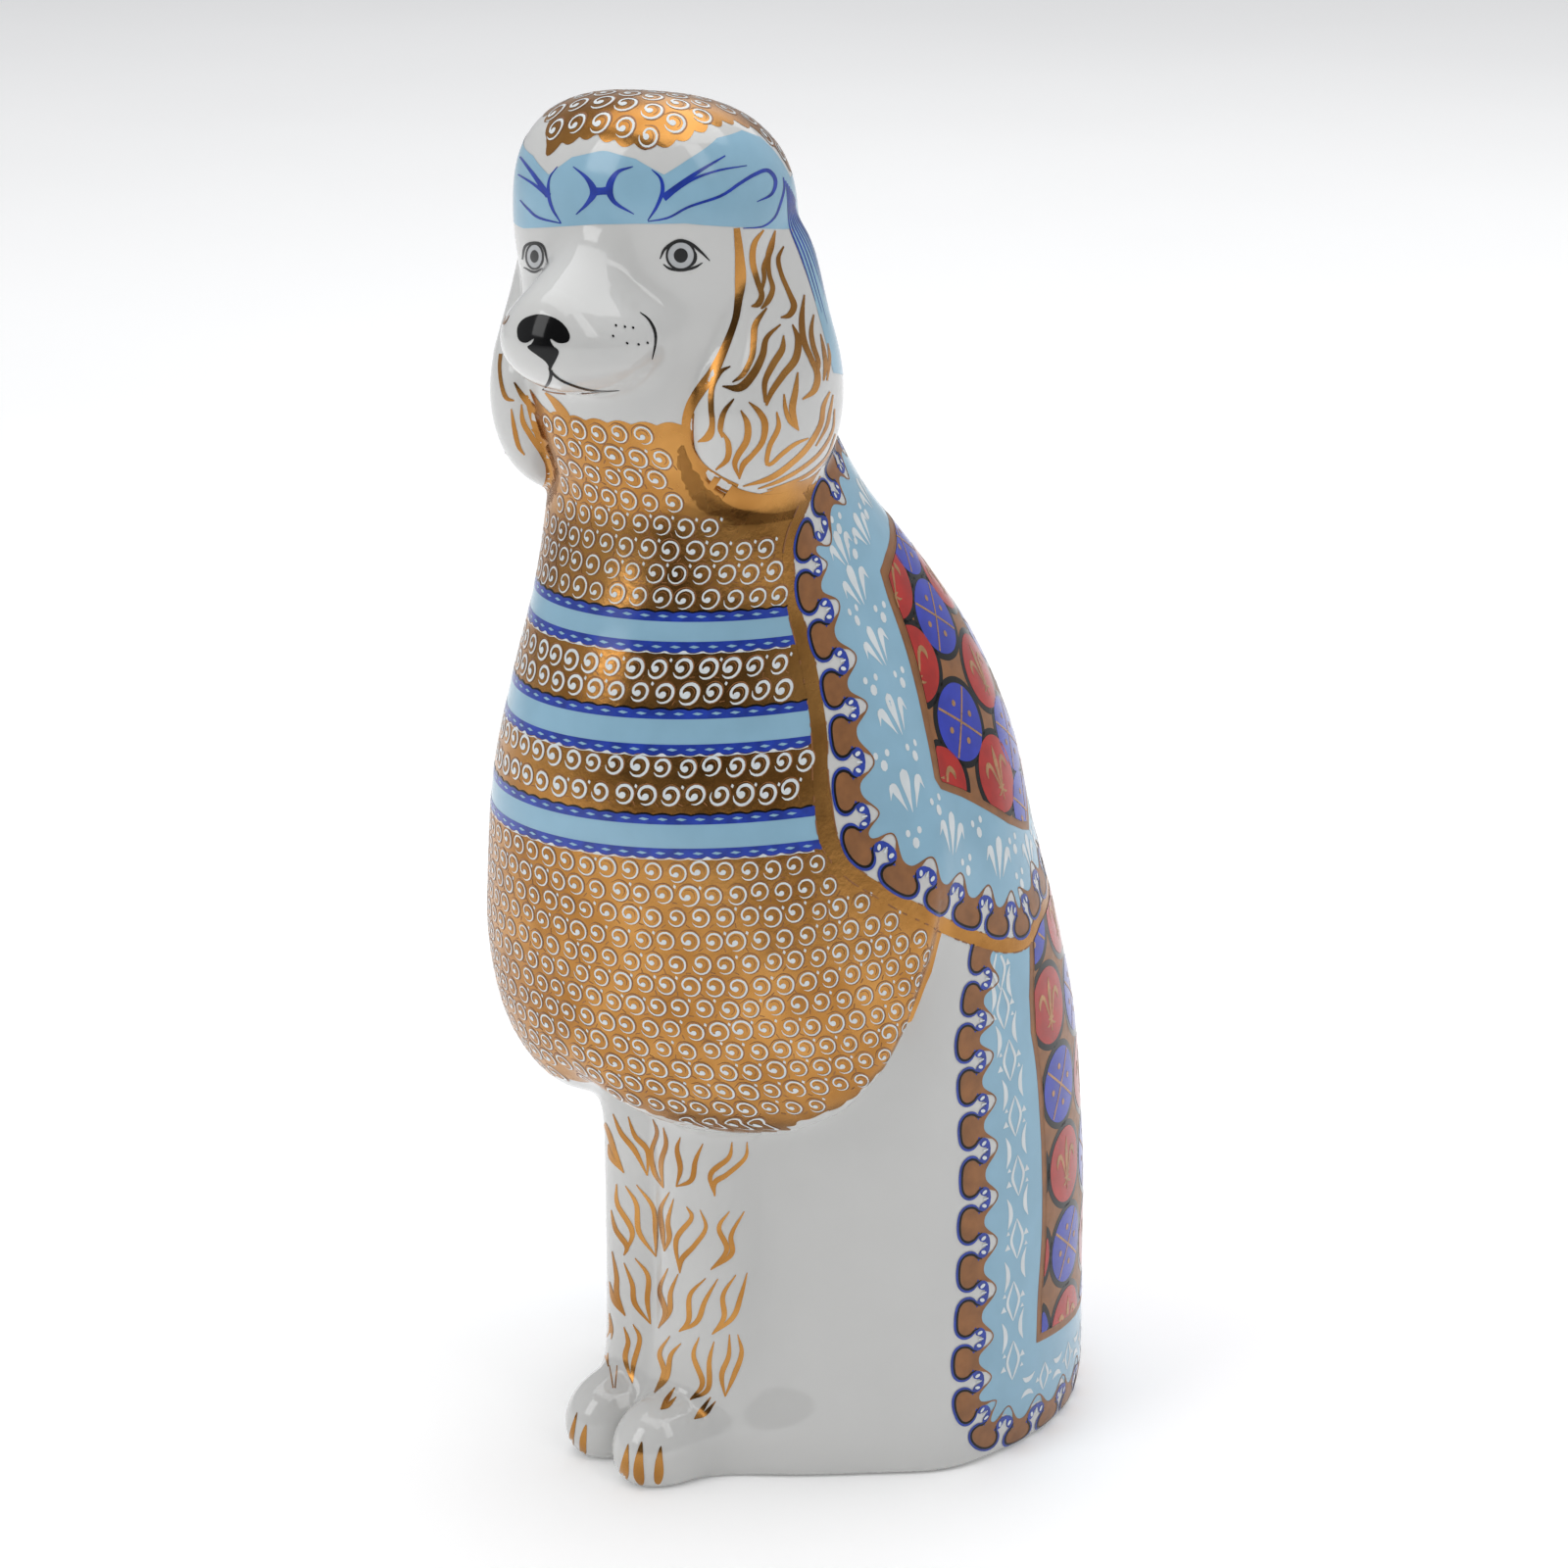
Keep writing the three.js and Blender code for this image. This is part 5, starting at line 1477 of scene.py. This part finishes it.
LOOK = {  # piece: (lift in mm, material, record slot)
    "mane_gold": (0.04, M_GOLD, "burnished_gold"),
    "cape_binding": (0.07, M_GOLD, "burnished_gold"),
    "binding_edges": (0.09, M_BROWN, "brown_enamel"),
    "chest_stripes": (0.04, M_LIGHT, "light_blue_enamel"),
    "stripe_lace": (0.07, M_COB, "cobalt_enamel"),
    "stripe_details": (0.10, M_LIGHT, "light_blue_enamel"),
    # painted shadow along the stripes' upper edges, made of black enamel
    "stripe_painted_shadow": (0.10, M_BLACK, "black_enamel"),
    "stripe_slivers": (0.11, M_WHITE, "white_enamel"),
    "cape_field": (0.04, M_LIGHT, "light_blue_enamel"),
    "train_field": (0.04, M_LIGHT, "light_blue_enamel"),
    "panel_border": (0.07, M_BROWN, "brown_enamel"),
    "panel_ground": (0.10, M_BROWN, "brown_enamel"),
    "roundel_rims": (0.12, M_BLACK, "black_enamel"),
    "curls_white": (0.09, M_WHITE, "white_enamel"),
    "curls_line": (0.08, M_BROWN, "brown_enamel"),
    "lace_brown": (0.08, M_BROWN, "brown_enamel"),
    "lace_cobalt": (0.10, M_COB, "cobalt_enamel"),
    "lace_black": (0.12, M_BLACK, "black_enamel"),
    "lace_white": (0.14, M_WHITE, "white_enamel"),
    "field_white": (0.07, M_WHITE, "white_enamel"),
    "roundels_blue": (0.15, M_DEEP, "cobalt_enamel"),
    "roundels_red": (0.15, M_RED, "red_enamel"),
    "roundel_lines": (0.18, M_GOLDP, "brown_enamel"),
    "headband": (0.04, M_LIGHT, "light_blue_enamel"),
    "headband_lines": (0.08, M_COB, "cobalt_enamel"),
    "crown_gold": (0.05, M_GOLD, "burnished_gold"),
    "gold_strokes": (0.06, M_GOLD, "burnished_gold"),
    "face_black": (0.07, M_BLACK, "black_enamel"),
    "face_iris": (0.05, M_IRIS, "white_enamel"),
    "face_brown": (0.06, M_BROWN, "brown_enamel"),
}


def finish_piece(ob, m):
    ob.data.materials.append(m)
    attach(ob, "root")


finish_piece(skin, M_CHINA)
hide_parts("body_casting", "head_casting", "left_ear", "right_ear", "left_foreleg", "right_foreleg")
for node in ("base_floor",):
    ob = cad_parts[node]
    ob.data.materials.clear()
    ob.data.materials.append(M_BARE)

for name, parts in LAYERS.items():
    if not parts:
        continue
    lift, m, slot_name = LOOK[name]
    n, Ps, Ts = 0, [], []
    for P, T in parts:
        Ps.append(P)
        Ts.append(T + n)
        n += len(P)
    P, T = np.concatenate(Ps), np.concatenate(Ts)
    P, N = snap(full, P, 3)
    T = T[(P[:, 2] > FOOT + 0.03)[T].all(1)]
    P = P + N*lift
    a, b, c = P[T[:, 0]], P[T[:, 1]], P[T[:, 2]]
    area = np.linalg.norm(np.cross(b - a, c - a), axis=1)
    T = T[area > 1e-7]
    T = orient(P, T, N)
    ob = make_mesh(name, P, T, N)
    finish_piece(ob, m)

# ---------------------------------------------------------------- stage, light, camera
bpy.ops.mesh.primitive_plane_add(size=6.0, location=(0, 0, 0))
floor = bpy.context.object
floor.name = "studio_floor"
M_FLOOR = mat("floor_paper", (248, 248, 248), 0.75, mottle=0.006, scale=3)
M_FLOOR.node_tree.nodes["Principled BSDF"].inputs["Emission Color"].default_value = (1, 1, 1, 1)
M_FLOOR.node_tree.nodes["Principled BSDF"].inputs["Emission Strength"].default_value = 0.12
floor.data.materials.append(M_FLOOR)

bpy.context.scene.view_settings.view_transform = "Standard"
world = bpy.data.worlds.new("studio")
bpy.context.scene.world = world
world.use_nodes = True
wt = world.node_tree
bg = wt.nodes["Background"]
# an even, pale room, dimmer on the side that the object is looked at from
wc = wt.nodes.new("ShaderNodeTexCoord")
wd = wt.nodes.new("ShaderNodeVectorMath")
wd.operation = "DOT_PRODUCT"
wd.inputs[1].default_value = (math.sin(AZ)*0.98, -math.cos(AZ)*0.98, 0.18)
wr = wt.nodes.new("ShaderNodeValToRGB")
wr.color_ramp.elements[0].position = 0.35
wr.color_ramp.elements[0].color = (0.74, 0.75, 0.77, 1)
wr.color_ramp.elements[1].position = 0.82
wr.color_ramp.elements[1].color = (0.13, 0.13, 0.135, 1)
wt.links.new(wc.outputs["Generated"], wd.inputs[0])
wt.links.new(wd.outputs["Value"], wr.inputs["Fac"])
wt.links.new(wr.outputs["Color"], bg.inputs["Color"])
bg.inputs["Strength"].default_value = 0.62


def area(name, loc, target, size, power, color=(1, 1, 1), size_y=None):
    d = bpy.data.lights.new(name, "AREA")
    d.energy = power
    d.color = color
    d.shape = "RECTANGLE"
    d.size = size
    d.size_y = size_y or size
    o = bpy.data.objects.new(name, d)
    bpy.context.scene.collection.objects.link(o)
    o.location = loc
    o.rotation_euler = (Vector(target) - Vector(loc)).to_track_quat("-Z", "Y").to_euler()
    return o


def around(az, el, dist, z=0.11):
    """A place round the object: azimuth from the camera's side, in degrees."""
    a, e = math.radians(46 + az), math.radians(el)
    return (math.sin(a)*math.cos(e)*dist, -math.cos(a)*math.cos(e)*dist, z + math.sin(e)*dist)


area("key", around(-52, 34, 1.25), (0, 0, 0.12), 0.50, 3.6, size_y=0.75)
area("side", around(38, 42, 1.30), (0, 0, 0.12), 0.30, 1.6, size_y=0.8)
area("top", (0.0, 0.3, 2.1), (0, 0.3, 0), 2.4, 31.0)
area("rear", around(165, 38, 1.6), (0, 0, 0.11), 0.9, 2.2)

cam_data = bpy.data.cameras.new("camera")
cam_data.sensor_width = 36.0
cam_data.lens = FPX/1600*36.0
cam_data.clip_start = 0.01
cam_data.clip_end = 50
cam = bpy.data.objects.new("camera", cam_data)
bpy.context.scene.collection.objects.link(cam)
cam.location = Vector((EYE + SHIFT)/1000)
R = np.stack([RIGHT, UP, -FWD], 1)
cam.rotation_euler = Matrix([list(r) for r in R]).to_euler()
bpy.context.scene.camera = cam

bpy.context.view_layer.update()
